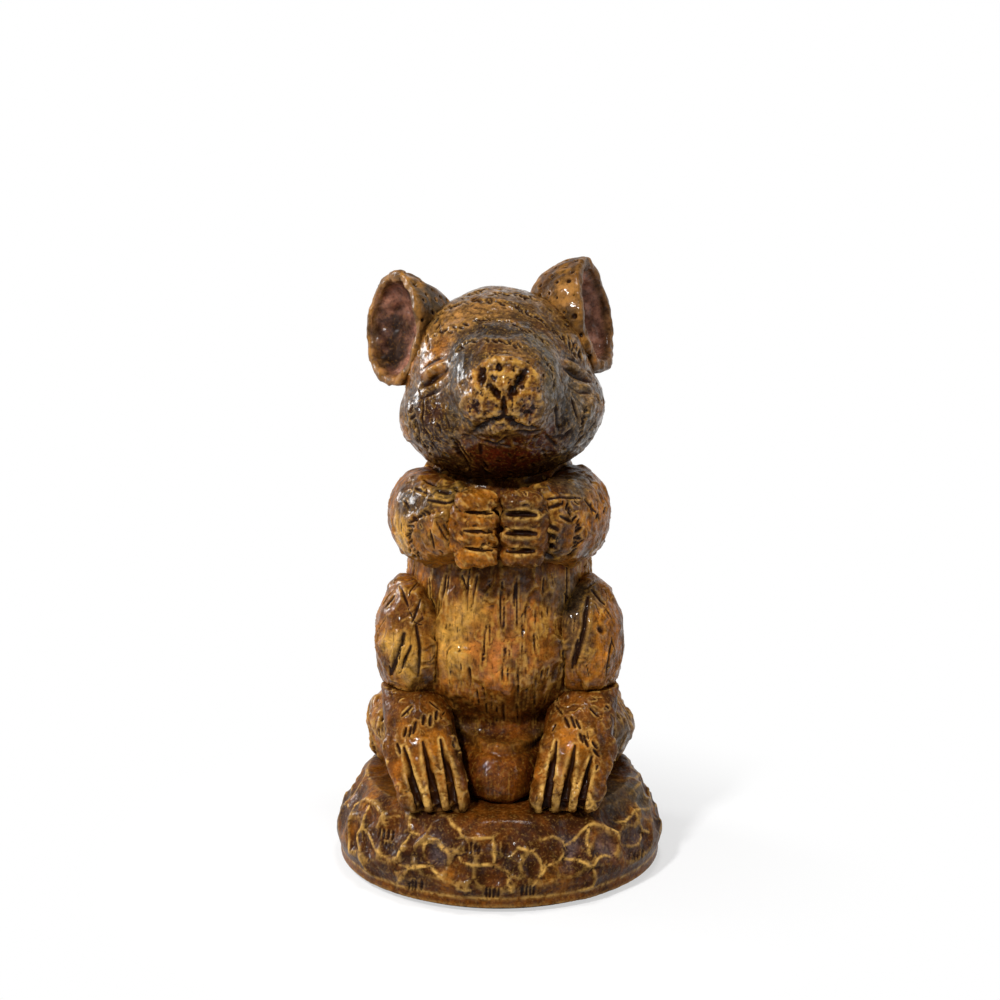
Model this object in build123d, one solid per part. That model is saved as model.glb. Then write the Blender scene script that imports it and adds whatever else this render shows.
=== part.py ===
"""Praying mouse figurine on a cobbled mound: cast pieces that are pegged and glued together.

Units are millimetres. +Z is up, the mouse faces -Y and its own left side is +X.
The origin is the middle of the underside, on the surface that the figurine stands on.
"""

import os
from math import cos, pi, radians, sin

from build123d import *

# Felt pad and base mound
PAD_THICKNESS = 1.0
PAD_INSET = 2.5
BASE_FOOT_RADIUS = 32.0
BASE_BAND_HEIGHT = 2.0
BASE_RADIUS = 32.8
BASE_WIDEST_HEIGHT = 4.5
BASE_TOP_RADIUS = 26.5
BASE_HEIGHT = 16.5
BASE_SHOULDER_BULGE = 1.7

# Scooped cells in two rings round the mound's slope; each is a shallow bowl with thin ridges round it
SCOOP_BALL_RADIUS = 8.6
SCOOP_DEPTH = 1.1
SCOOP_SPACING = 7.4
SCOOP_LOW_SHARE = 0.22
SCOOP_HIGH_SHARE = 0.7
SCOOP_DEPTH_SPREAD = 0.3
SCOOP_ANGLE_SPREAD = 0.26
SCOOP_SHARE_SPREAD = 0.08

# Body: heights are above the seat, the mound's flat top
RUMP_HALF_WIDTH = 26.6
RUMP_HALF_DEPTH = 17.8
RUMP_HALF_HEIGHT = 16.0
RUMP_HEIGHT = 7.0
RUMP_SET_BACK = 6.0
LAP_HALF_WIDTH = 9.5
LAP_HALF_DEPTH = 14.0
LAP_HALF_HEIGHT = 9.5
LAP_HEIGHT = 2.5
LAP_FORWARD = 7.5
SEAT_HALF_WIDTH = 17.0
SEAT_HALF_DEPTH = 14.0
BELLY_HALF_WIDTH = 19.5
BELLY_HALF_DEPTH = 17.6
BELLY_HALF_HEIGHT = 17.0
BELLY_HEIGHT = 26.5
BELLY_SET_BACK = 0.5
HIP_HALF_WIDTH = 19.0
HIP_HALF_DEPTH = 18.5
HIP_SET_BACK = 4.5
WAIST_HALF_WIDTH = 17.8
WAIST_HALF_DEPTH = 18.0
WAIST_BELOW_NECK = 21.5
WAIST_SET_BACK = 3.0
CHEST_HALF_WIDTH = 16.5
CHEST_HALF_DEPTH = 15.5
CHEST_BELOW_NECK = 12.0
CHEST_SET_BACK = 2.5
NECK_HALF_WIDTH = 13.0
NECK_HALF_DEPTH = 9.5
NECK_HEIGHT = 64.5
NECK_SET_BACK = 2.0

# Head: its own middle stands above the neck, and its parts are placed from that middle
HEAD_ABOVE_NECK = 14.5
CRANIUM_HALF_WIDTH = 17.6
CRANIUM_HALF_DEPTH = 18.5
CRANIUM_HALF_HEIGHT = 17.6
CHEEK_HALF_WIDTH = 19.4
CHEEK_HALF_DEPTH = 16.5
CHEEK_HALF_HEIGHT = 13.0
CHEEK_DROP = 5.5
CHEEK_FORWARD = 2.5
BRIDGE_HALF_WIDTH = 13.4
BRIDGE_HALF_DEPTH = 16.8
BRIDGE_HALF_HEIGHT = 13.5
BRIDGE_FORWARD = 7.0
BRIDGE_DROP = 0.3
MUZZLE_HALF_WIDTH = 10.9
MUZZLE_HALF_DEPTH = 14.5
MUZZLE_HALF_HEIGHT = 10.6
MUZZLE_FORWARD = 12.3
MUZZLE_RAISE = 0.5
HEAD_PITCH_UP = 4.0
HEAD_ROLL = 3.5
HEAD_TURN = 4.0

# Ears: cups on short stems, placed from the middle of the head
EAR_RADIUS = 11.2
EAR_WALL = 1.9
EAR_BOWL_DEPTH = 6.5
EAR_STEM_RADIUS = 5.0
EAR_LENGTH = 13.0
EAR_MOUTH_SIDE = 20.0
EAR_MOUTH_RAISE = 11.0
EAR_MOUTH_BACK = 4.0
EAR_LIFT = 8.0
EAR_FLARE_LEFT = 70.0
EAR_FLARE_RIGHT = 64.0
EAR_FULLNESS_LEFT = 2.5
EAR_FULLNESS_RIGHT = 1.1

# Arms: elliptical sections along a curve from the shoulder round to the wrist
ARM_BELOW_NECK = 11.2
SHOULDER_SIDE = 6.5
SHOULDER_BACK = 6.0
ELBOW_SIDE = 14.2
ELBOW_FORWARD = 3.0
FOREARM_SIDE = 10.6
FOREARM_FORWARD = 13.0
WRIST_SIDE = 4.4
WRIST_FORWARD = 17.2
WRIST_RAISE = 2.5
SHOULDER_THICKNESS = 9.0
ELBOW_THICKNESS = 14.2
FOREARM_THICKNESS = 12.6
WRIST_THICKNESS = 9.6
ARM_TALLNESS = 1.26

# Paws: four stacked fingers over a rounded palm, meeting at the middle
PAW_ABOVE_ARM = 1.4
PAW_FORWARD = 21.4
FINGER_COUNT = 4
FINGER_PITCH = 3.5
KNUCKLE_RADIUS = 2.05
FINGERTIP_RADIUS = 1.85
FINGER_LENGTH = 8.2
PALM_HALF_WIDTH = 4.7
PALM_HALF_DEPTH = 4.0
PALM_HALF_HEIGHT = 7.2
PALM_SIDE = 5.2
PALM_BEHIND_FINGERS = 2.2
MIDDLE_GAP = 0.15

# Thighs and feet
THIGH_SIDE = 15.6
THIGH_FORWARD = 3.0
THIGH_HEIGHT = 27.5
THIGH_HALF_WIDTH = 8.7
THIGH_HALF_DEPTH = 11.3
THIGH_HALF_HEIGHT = 14.0
KNEE_HEIGHT = 20.0
ANKLE_SIDE = 17.0
ANKLE_FORWARD = 6.8
ANKLE_HALF_WIDTH = 6.0
ANKLE_HALF_DEPTH = 6.2
INSTEP_SIDE = 15.2
INSTEP_FORWARD = 14.0
INSTEP_HEIGHT = 12.5
INSTEP_HALF_WIDTH = 6.6
INSTEP_HALF_DEPTH = 6.4
SOLE_SIDE = 12.8
SOLE_FORWARD = 19.0
SOLE_HALF_WIDTH = 5.6
SOLE_HALF_DEPTH = 4.6
TOE_COUNT = 4
TOE_ROOT_HEIGHT = 10.5
TOE_ROOT_PITCH = 3.5
TOE_TIP_PITCH = 3.2
TOE_ROOT_RADIUS = 2.2
TOE_TIP_RADIUS = 1.9
TOE_TIP_FORWARD = 23.6
TOE_TIP_SIDE = 12.4

# Tail: lies on the mound behind the rump and curls towards the mouse's left
TAIL_CURL_HALF_WIDTH = 25.2
TAIL_CURL_HALF_DEPTH = 17.6
TAIL_START_ANGLE = 98.0
TAIL_END_ANGLE = 42.0
TAIL_ROOT_RADIUS = 3.2
TAIL_TIP_RADIUS = 1.3
TAIL_SINK = 0.3
TAIL_SECTIONS = 6

# Pegs that locate the castings, with glue room round them
PEG_CLEARANCE = 0.12
PEG_END_GAP = 0.6
SEAT_PEG_RADIUS = 9.0
SEAT_PEG_LENGTH = 7.0
NECK_PEG_RADIUS = 5.0
NECK_PEG_LENGTH = 9.0
EAR_PEG_RADIUS = 2.4
EAR_PEG_LENGTH = 4.5
LIMB_PEG_RADIUS = 2.4
LIMB_PEG_LENGTH = 5.0
PAW_PEG_RADIUS = 1.8
PAW_PEG_LENGTH = 3.5
FOOT_PEG_RADIUS = 2.0
FOOT_PEG_LENGTH = 4.0
TAIL_PEG_RADIUS = 1.5
TAIL_PEG_LENGTH = 4.5

LEFT, RIGHT = 1, -1
SIDES = {"left": LEFT, "right": RIGHT}

SEAT_Z = PAD_THICKNESS + BASE_HEIGHT
ARM_HEIGHT = NECK_HEIGHT - ARM_BELOW_NECK
HEAD_MIDDLE = Vector(0, 0, SEAT_Z + NECK_HEIGHT + HEAD_ABOVE_NECK)
HEAD_POSE = Pos(HEAD_MIDDLE) * Rot(0, 0, HEAD_TURN) * Rot(0, -HEAD_ROLL, 0) * Rot(-HEAD_PITCH_UP, 0, 0)
DOWN = Vector(0, 0, -1)
INWARD = Vector(-1, 0, 0)
FORWARD = Vector(0, -1, 0)


def ellipsoid(middle, half_width, half_depth, half_height, seam_angle=90):
    """A solid ellipsoid with its axes along X, Y and Z; its seam is at the back unless told otherwise."""
    return Pos(*middle) * scale(Rot(0, 0, seam_angle) * Sphere(1), by=(half_width, half_depth, half_height))


def level_ellipse(height, half_width, half_depth, side=0, back=0):
    """A horizontal elliptical section; height is above the seat."""
    return Pos(side, back, SEAT_Z + height) * Ellipse(half_width, half_depth)


def room_above(height):
    """All the room above a level plane."""
    size = 8 * BASE_RADIUS
    return Pos(0, 0, height) * Box(size, size, size, align=(Align.CENTER, Align.CENTER, Align.MIN))


def rod(start, direction, radius, length):
    """A straight round rod that begins at start."""
    bottom = (Align.CENTER, Align.CENTER, Align.MIN)
    return Plane(start, z_dir=direction) * Cylinder(radius, length, align=bottom)


def peg_and_socket(seat, direction, radius, length, root):
    """A peg that reaches length past seat, rooted inside its own piece, and the socket that takes it."""
    way = Vector(direction).normalized()
    start = Vector(seat) - way * root
    peg = rod(start, way, radius, root + length)
    socket = rod(start, way, radius + PEG_CLEARANCE, root + length + PEG_END_GAP)
    return peg, socket


def tapered_finger(start, end, start_radius, end_radius):
    """A round finger or toe that narrows from start to end, with ball ends."""
    way = Vector(end) - Vector(start)
    length = way.length
    low_pole, high_pole = (0, 0, -start_radius), (0, 0, length + end_radius)
    start_edge, end_edge = (start_radius, 0, 0), (end_radius, 0, length)
    slant = sin(radians(45))
    low_slant = (slant * start_radius, 0, -slant * start_radius)
    high_slant = (slant * end_radius, 0, length + slant * end_radius)
    outline = [
        ThreePointArc(low_pole, low_slant, start_edge),
        Line(start_edge, end_edge),
        ThreePointArc(end_edge, high_slant, high_pole),
        Line(high_pole, low_pole),
    ]
    return Plane(start, z_dir=way) * revolve(make_face(outline), Axis.Z)


def make_pad():
    """Felt disc under the base."""
    bottom = (Align.CENTER, Align.CENTER, Align.MIN)
    return Cylinder(BASE_FOOT_RADIUS - PAD_INSET, PAD_THICKNESS, align=bottom)


def make_mound():
    """Low round mound with a plain band at its foot, before its sockets are cut."""
    low, widest = PAD_THICKNESS, PAD_THICKNESS + BASE_WIDEST_HEIGHT
    band_top = low + BASE_BAND_HEIGHT
    chord = Vector(BASE_TOP_RADIUS - BASE_RADIUS, 0, SEAT_Z - widest)
    outward = Vector(chord.Z, 0, -chord.X).normalized()
    shoulder = Vector(BASE_RADIUS, 0, widest) + chord * 0.5 + outward * BASE_SHOULDER_BULGE
    outline = Polyline(
        (BASE_TOP_RADIUS, 0, SEAT_Z),
        (0, 0, SEAT_Z),
        (0, 0, low),
        (BASE_FOOT_RADIUS, 0, low),
        (BASE_FOOT_RADIUS, 0, band_top),
        (BASE_RADIUS, 0, widest),
    )
    slope = ThreePointArc((BASE_RADIUS, 0, widest), shoulder, (BASE_TOP_RADIUS, 0, SEAT_Z))
    return revolve(make_face([outline, slope]), Axis.Z)


def scoop_balls():
    """Balls that scoop the cells out of the slope, staggered from ring to ring and a little uneven."""
    widest = PAD_THICKNESS + BASE_WIDEST_HEIGHT
    chord = Vector(BASE_TOP_RADIUS - BASE_RADIUS, 0, SEAT_Z - widest)
    outward = Vector(chord.Z, 0, -chord.X).normalized()
    balls = []
    count = round(2 * pi * BASE_RADIUS / SCOOP_SPACING)
    for ring, ring_share in enumerate((SCOOP_LOW_SHARE, SCOOP_HIGH_SHARE)):
        for number in range(count):
            unevenness = sin(number * number + ring)
            share = ring_share + SCOOP_SHARE_SPREAD * sin(5 * number + ring)
            bulge = 4 * share * (1 - share) * BASE_SHOULDER_BULGE
            depth = SCOOP_DEPTH * (1 + SCOOP_DEPTH_SPREAD * unevenness)
            out = outward * (bulge + SCOOP_BALL_RADIUS - depth)
            middle = Vector(BASE_RADIUS, 0, widest) + chord * share + out
            place = number + ring / 2 + SCOOP_ANGLE_SPREAD * sin(3 * number * number + ring)
            balls.append(Rot(0, 0, 360 * place / count) * Pos(middle) * Sphere(SCOOP_BALL_RADIUS))
    return balls


def make_torso():
    """Rump, lap, belly, chest and neck in one casting, standing on the seat."""
    waist_height, chest_height = NECK_HEIGHT - WAIST_BELOW_NECK, NECK_HEIGHT - CHEST_BELOW_NECK
    rump_middle = (0, RUMP_SET_BACK, SEAT_Z + RUMP_HEIGHT)
    rump = ellipsoid(rump_middle, RUMP_HALF_WIDTH, RUMP_HALF_DEPTH, RUMP_HALF_HEIGHT)
    sections = [
        level_ellipse(0, SEAT_HALF_WIDTH, SEAT_HALF_DEPTH, back=RUMP_SET_BACK),
        level_ellipse(BELLY_HEIGHT, HIP_HALF_WIDTH, HIP_HALF_DEPTH, back=HIP_SET_BACK),
        level_ellipse(waist_height, WAIST_HALF_WIDTH, WAIST_HALF_DEPTH, back=WAIST_SET_BACK),
        level_ellipse(chest_height, CHEST_HALF_WIDTH, CHEST_HALF_DEPTH, back=CHEST_SET_BACK),
        level_ellipse(NECK_HEIGHT, NECK_HALF_WIDTH, NECK_HALF_DEPTH, back=NECK_SET_BACK),
    ]
    belly_middle = (0, BELLY_SET_BACK, SEAT_Z + BELLY_HEIGHT)
    belly = ellipsoid(belly_middle, BELLY_HALF_WIDTH, BELLY_HALF_DEPTH, BELLY_HALF_HEIGHT)
    lap_middle = (0, -LAP_FORWARD, SEAT_Z + LAP_HEIGHT)
    lap = ellipsoid(lap_middle, LAP_HALF_WIDTH, LAP_HALF_DEPTH, LAP_HALF_HEIGHT)
    return (loft(sections) + belly + rump + lap) & room_above(SEAT_Z)


def make_head_form():
    """Cranium, cheeks, bridge of the snout and muzzle, posed on the neck."""
    cranium = ellipsoid((0, 0, 0), CRANIUM_HALF_WIDTH, CRANIUM_HALF_DEPTH, CRANIUM_HALF_HEIGHT)
    cheek_middle = (0, -CHEEK_FORWARD, -CHEEK_DROP)
    cheeks = ellipsoid(cheek_middle, CHEEK_HALF_WIDTH, CHEEK_HALF_DEPTH, CHEEK_HALF_HEIGHT)
    bridge_middle = (0, -BRIDGE_FORWARD, -BRIDGE_DROP)
    bridge = ellipsoid(bridge_middle, BRIDGE_HALF_WIDTH, BRIDGE_HALF_DEPTH, BRIDGE_HALF_HEIGHT)
    muzzle_middle = (0, -MUZZLE_FORWARD, MUZZLE_RAISE)
    muzzle = ellipsoid(muzzle_middle, MUZZLE_HALF_WIDTH, MUZZLE_HALF_DEPTH, MUZZLE_HALF_HEIGHT)
    return HEAD_POSE * (cranium + cheeks + bridge + muzzle)


def make_ear_cup(fullness):
    """One ear about its own axis: the mouth's middle is at the origin and opens along +Z."""
    stem_end = -EAR_LENGTH
    rim_inside = EAR_RADIUS - EAR_WALL
    back_bulge = (EAR_RADIUS + EAR_STEM_RADIUS) / 2 + fullness
    back = ThreePointArc((EAR_RADIUS, 0, 0), (back_bulge, 0, stem_end / 2), (EAR_STEM_RADIUS, 0, stem_end))
    stem_and_mouth = Polyline((EAR_STEM_RADIUS, 0, stem_end), (0, 0, stem_end), (0, 0, 0), (EAR_RADIUS, 0, 0))
    funnel = revolve(make_face([back, stem_and_mouth]), Axis.Z)
    return funnel - ellipsoid((0, 0, 0), rim_inside, rim_inside, EAR_BOWL_DEPTH)


def ear_pose(side):
    """Where an ear's mouth is and which way it faces, for the left (1) or right (-1) ear."""
    flare = EAR_FLARE_LEFT if side == LEFT else EAR_FLARE_RIGHT
    mouth = Vector(side * EAR_MOUTH_SIDE, EAR_MOUTH_BACK, EAR_MOUTH_RAISE)
    level = cos(radians(EAR_LIFT))
    facing = Vector(side * sin(radians(flare)) * level, -cos(radians(flare)) * level, sin(radians(EAR_LIFT)))
    return HEAD_POSE * Location(Plane(mouth, z_dir=facing))


def arm_points():
    """The middle of the left arm at shoulder, elbow, forearm and wrist."""
    height = SEAT_Z + ARM_HEIGHT
    return [
        Vector(SHOULDER_SIDE, SHOULDER_BACK, height),
        Vector(ELBOW_SIDE, -ELBOW_FORWARD, height),
        Vector(FOREARM_SIDE, -FOREARM_FORWARD, height + WRIST_RAISE / 3),
        Vector(WRIST_SIDE, -WRIST_FORWARD, height + WRIST_RAISE),
    ]


def make_arm_form():
    """The bent left arm, thick at the elbow and narrower at the wrist, kept to its own side of the middle."""
    points = arm_points()
    path = Spline(*points)
    thicknesses = [SHOULDER_THICKNESS, ELBOW_THICKNESS, FOREARM_THICKNESS, WRIST_THICKNESS]
    sections = []
    for point, thickness in zip(points, thicknesses):
        across = Plane(point, x_dir=(0, 0, 1), z_dir=path % path.param_at_point(point))
        sections.append(across * Ellipse(ARM_TALLNESS * thickness / 2, thickness / 2))
    return loft(sections) & left_half()


def left_half():
    """All the room left of the middle plane, less half the gap between the paws."""
    size = 8 * BASE_RADIUS
    return Pos(size / 2 + MIDDLE_GAP / 2, 0, 0) * Box(size, size, size)


def make_paw_form():
    """Palm and four fingers of the left paw, which point at the other paw."""
    height = SEAT_Z + ARM_HEIGHT + PAW_ABOVE_ARM
    palm_middle = (PALM_SIDE, PALM_BEHIND_FINGERS - PAW_FORWARD, height)
    paw = ellipsoid(palm_middle, PALM_HALF_WIDTH, PALM_HALF_DEPTH, PALM_HALF_HEIGHT, seam_angle=0)
    for number in range(FINGER_COUNT):
        level = height + (number - (FINGER_COUNT - 1) / 2) * FINGER_PITCH
        tip = Vector(FINGERTIP_RADIUS + MIDDLE_GAP, -PAW_FORWARD, level)
        knuckle = Vector(FINGER_LENGTH - KNUCKLE_RADIUS, -PAW_FORWARD, level)
        paw += tapered_finger(knuckle, tip, KNUCKLE_RADIUS, FINGERTIP_RADIUS)
    return paw & left_half()


def make_thigh_form():
    """Rounded left thigh, cut level at the knee crease."""
    middle = (THIGH_SIDE, -THIGH_FORWARD, SEAT_Z + THIGH_HEIGHT)
    thigh = ellipsoid(middle, THIGH_HALF_WIDTH, THIGH_HALF_DEPTH, THIGH_HALF_HEIGHT)
    return thigh & room_above(SEAT_Z + KNEE_HEIGHT)


def make_foot_form():
    """Left shin and instep, which slope forward and inward to four toes."""
    sections = [
        level_ellipse(0, SOLE_HALF_WIDTH, SOLE_HALF_DEPTH, SOLE_SIDE, -SOLE_FORWARD),
        level_ellipse(INSTEP_HEIGHT, INSTEP_HALF_WIDTH, INSTEP_HALF_DEPTH, INSTEP_SIDE, -INSTEP_FORWARD),
        level_ellipse(KNEE_HEIGHT, ANKLE_HALF_WIDTH, ANKLE_HALF_DEPTH, ANKLE_SIDE, -ANKLE_FORWARD),
    ]
    foot = loft(sections)
    root_y = TOE_ROOT_RADIUS - INSTEP_FORWARD - INSTEP_HALF_DEPTH
    for number in range(TOE_COUNT):
        place = number - (TOE_COUNT - 1) / 2
        root_x, tip_x = INSTEP_SIDE + place * TOE_ROOT_PITCH, TOE_TIP_SIDE + place * TOE_TIP_PITCH
        root = Vector(root_x, root_y + abs(place), SEAT_Z + TOE_ROOT_HEIGHT)
        tip = Vector(tip_x, -TOE_TIP_FORWARD, SEAT_Z + TOE_TIP_RADIUS)
        foot += tapered_finger(root, tip, TOE_ROOT_RADIUS, TOE_TIP_RADIUS)
    return foot


def make_tail_form():
    """Tail that lies on the mound and narrows to its tip."""
    sections = []
    for number in range(TAIL_SECTIONS):
        share = number / (TAIL_SECTIONS - 1)
        angle = radians(TAIL_START_ANGLE + share * (TAIL_END_ANGLE - TAIL_START_ANGLE))
        radius = TAIL_ROOT_RADIUS + share * (TAIL_TIP_RADIUS - TAIL_ROOT_RADIUS)
        middle = Vector(
            TAIL_CURL_HALF_WIDTH * cos(angle),
            TAIL_CURL_HALF_DEPTH * sin(angle) + RUMP_SET_BACK,
            SEAT_Z + radius - TAIL_SINK,
        )
        along = Vector(TAIL_CURL_HALF_WIDTH * sin(angle), -TAIL_CURL_HALF_DEPTH * cos(angle), 0)
        sections.append(Plane(middle, x_dir=(0, 0, 1), z_dir=along) * Circle(radius))
    tip = Pos(middle) * Sphere(TAIL_TIP_RADIUS)
    return loft(sections) + tip


def build():
    """Every piece by node name, each cut clear of the pieces that it seats on."""
    mound, torso, head_form = make_mound(), make_torso(), make_head_form()
    pieces = {"felt_pad": make_pad()}

    seat = (0, RUMP_SET_BACK, SEAT_Z)
    seat_peg, seat_socket = peg_and_socket(seat, DOWN, SEAT_PEG_RADIUS, SEAT_PEG_LENGTH, SEAT_PEG_LENGTH)
    neck = (0, NECK_SET_BACK, SEAT_Z + NECK_HEIGHT)
    neck_peg, neck_socket = peg_and_socket(neck, DOWN, NECK_PEG_RADIUS, NECK_PEG_LENGTH, HEAD_ABOVE_NECK)
    base = mound - scoop_balls() - seat_socket
    body = torso - head_form + seat_peg - neck_socket
    head = head_form + neck_peg

    ear_root = EAR_LENGTH - EAR_BOWL_DEPTH - EAR_WALL
    for name, side in SIDES.items():
        pose = ear_pose(side)
        fullness = EAR_FULLNESS_LEFT if side == LEFT else EAR_FULLNESS_RIGHT
        stem_end = (pose * Pos(0, 0, -EAR_LENGTH)).position
        inward = stem_end - pose.position
        ear_peg, ear_socket = peg_and_socket(stem_end, inward, EAR_PEG_RADIUS, EAR_PEG_LENGTH, ear_root)
        pieces[f"ear_{name}"] = pose * make_ear_cup(fullness) - head_form + ear_peg
        head -= ear_socket

    paw = make_paw_form() - torso - head_form
    arm = make_arm_form() - torso - head_form - paw
    thigh = make_thigh_form() - torso - arm
    foot = make_foot_form() - torso

    shoulder, elbow, forearm, wrist = arm_points()
    arm_seat = (CHEST_HALF_WIDTH, -LIMB_PEG_RADIUS, elbow.Z)
    arm_peg, arm_socket = peg_and_socket(arm_seat, INWARD, LIMB_PEG_RADIUS, LIMB_PEG_LENGTH, LIMB_PEG_RADIUS)
    thigh_seat = (BELLY_HALF_WIDTH, -THIGH_FORWARD, SEAT_Z + THIGH_HEIGHT)
    thigh_peg, thigh_socket = peg_and_socket(
        thigh_seat, INWARD, LIMB_PEG_RADIUS, LIMB_PEG_LENGTH, LIMB_PEG_RADIUS
    )
    paw_peg, paw_socket = peg_and_socket(
        wrist, forearm - wrist, PAW_PEG_RADIUS, PAW_PEG_LENGTH, PALM_HALF_DEPTH
    )
    sole = (SOLE_SIDE, -SOLE_FORWARD, SEAT_Z)
    foot_peg, foot_socket = peg_and_socket(sole, DOWN, FOOT_PEG_RADIUS, FOOT_PEG_LENGTH, FOOT_PEG_RADIUS)

    for socket in (arm_socket, thigh_socket):
        body = body - socket - mirror(socket, Plane.YZ)
    base = base - foot_socket - mirror(foot_socket, Plane.YZ)
    limbs = {
        "arm": arm + arm_peg - paw_socket,
        "paw": paw + paw_peg,
        "thigh": thigh + thigh_peg,
        "foot": foot + foot_peg,
    }
    for name, limb in limbs.items():
        pieces[f"{name}_left"] = limb
        pieces[f"{name}_right"] = mirror(limb, Plane.YZ)

    tail_root = (0, RUMP_SET_BACK + TAIL_CURL_HALF_DEPTH - TAIL_ROOT_RADIUS, SEAT_Z + TAIL_ROOT_RADIUS)
    tail_peg, tail_socket = peg_and_socket(
        tail_root, FORWARD, TAIL_PEG_RADIUS, TAIL_PEG_LENGTH, TAIL_ROOT_RADIUS
    )
    pieces["tail"] = (make_tail_form() & room_above(SEAT_Z)) - torso + tail_peg
    pieces.update(base=base, body=body - tail_socket, head=head)
    return pieces


os.makedirs("parts", exist_ok=True)
for node, piece in build().items():
    export_step(piece, f"parts/{node}.step")
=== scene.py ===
import math

import bpy
import numpy as np
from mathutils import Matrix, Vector
from mathutils.bvhtree import BVHTree
from mathutils.kdtree import KDTree


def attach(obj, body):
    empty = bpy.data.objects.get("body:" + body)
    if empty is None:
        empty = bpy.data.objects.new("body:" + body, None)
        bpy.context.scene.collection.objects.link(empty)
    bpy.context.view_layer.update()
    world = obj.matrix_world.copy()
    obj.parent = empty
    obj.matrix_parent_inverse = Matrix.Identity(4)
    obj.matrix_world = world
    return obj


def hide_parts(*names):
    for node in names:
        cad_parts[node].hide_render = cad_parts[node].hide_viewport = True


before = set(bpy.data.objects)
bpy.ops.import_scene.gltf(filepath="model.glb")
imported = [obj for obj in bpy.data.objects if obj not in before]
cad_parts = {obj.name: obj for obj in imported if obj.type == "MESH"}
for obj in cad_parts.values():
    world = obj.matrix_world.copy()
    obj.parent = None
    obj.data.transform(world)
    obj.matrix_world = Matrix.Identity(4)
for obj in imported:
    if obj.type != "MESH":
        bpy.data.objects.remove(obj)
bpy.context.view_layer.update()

MM = 0.001
DOWN = (0, 0, -1)

# Camera: the photograph's viewpoint in millimetres, with its focal length in pixels of a 1000-pixel frame
FRAME_PIXELS = 1000
CAMERA_PLACE = Vector((0.1, -420.0, 170.8))
CAMERA_PITCH = math.radians(13.15)
FOCAL_PIXELS = 2211.0
SENSOR_MM = 36.0
LOOK = Vector((0, math.cos(CAMERA_PITCH), -math.sin(CAMERA_PITCH)))
LOOK_UP = Vector((0, math.sin(CAMERA_PITCH), math.cos(CAMERA_PITCH)))

# How far neighbouring castings shelter each other, for the painted shade laid on the paint between them
SHELTER_REACH = 14.0
SHELTER_RAYS = 20
SHELTER_SPOTS = 2200
SHELTER_LIFT = 0.7
SHELTER_BLUR = 25
DULL_SHELTER = (0.1, 0.42)

# Smoothing after each remesh, and the most points tried when some are scattered
REMESH_SMOOTHING = 3
SCATTER_TRIES = 12000


def colour(red, green, blue):
    """Linear colour of an 8-bit display colour."""
    share = np.array([red, green, blue]) / 255.0
    return np.where(share <= 0.04045, share / 12.92, ((share + 0.055) / 1.055) ** 2.4)


GOLD = colour(216, 166, 84)
OCHRE = colour(204, 152, 66)
HONEY = colour(164, 97, 20)
TAN = colour(138, 82, 21)
COPPER = colour(172, 102, 40)
ROSE = colour(178, 102, 60)
AMBER = colour(140, 78, 12)
BROWN = colour(106, 58, 10)
EARTH = colour(92, 48, 7)
UMBER = colour(72, 36, 7)
DARK_UMBER = colour(44, 18, 4)
DRAB = colour(98, 68, 36)
SLATE = colour(54, 40, 26)
OLIVE = colour(100, 78, 32)
DARK_OLIVE = colour(52, 42, 18)
KHAKI = colour(144, 100, 50)
GREY_OLIVE = colour(80, 66, 42)
GREY_BROWN = colour(82, 66, 46)
OXBLOOD = colour(86, 28, 9)
RUSSET = colour(106, 54, 10)
CHARCOAL = colour(30, 23, 18)
EAR_RED = colour(150, 102, 82)
EAR_GREY = colour(124, 112, 112)
NEAR_BLACK = colour(30, 9, 2)
# Grey of the painted reflections in the base's glossy cells
REFLECTION_GREY = colour(84, 72, 72)
EAR_OCHRE = colour(178, 122, 50)
FELT_DARK = colour(22, 34, 24)
FELT_PALE = colour(58, 76, 56)


def sight(u, v):
    """Direction from the camera through a pixel of the photograph."""
    across = Vector((1, 0, 0)) * (u - FRAME_PIXELS / 2)
    upward = LOOK_UP * (FRAME_PIXELS / 2 - v)
    return (LOOK * FOCAL_PIXELS + across + upward).normalized()


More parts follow.
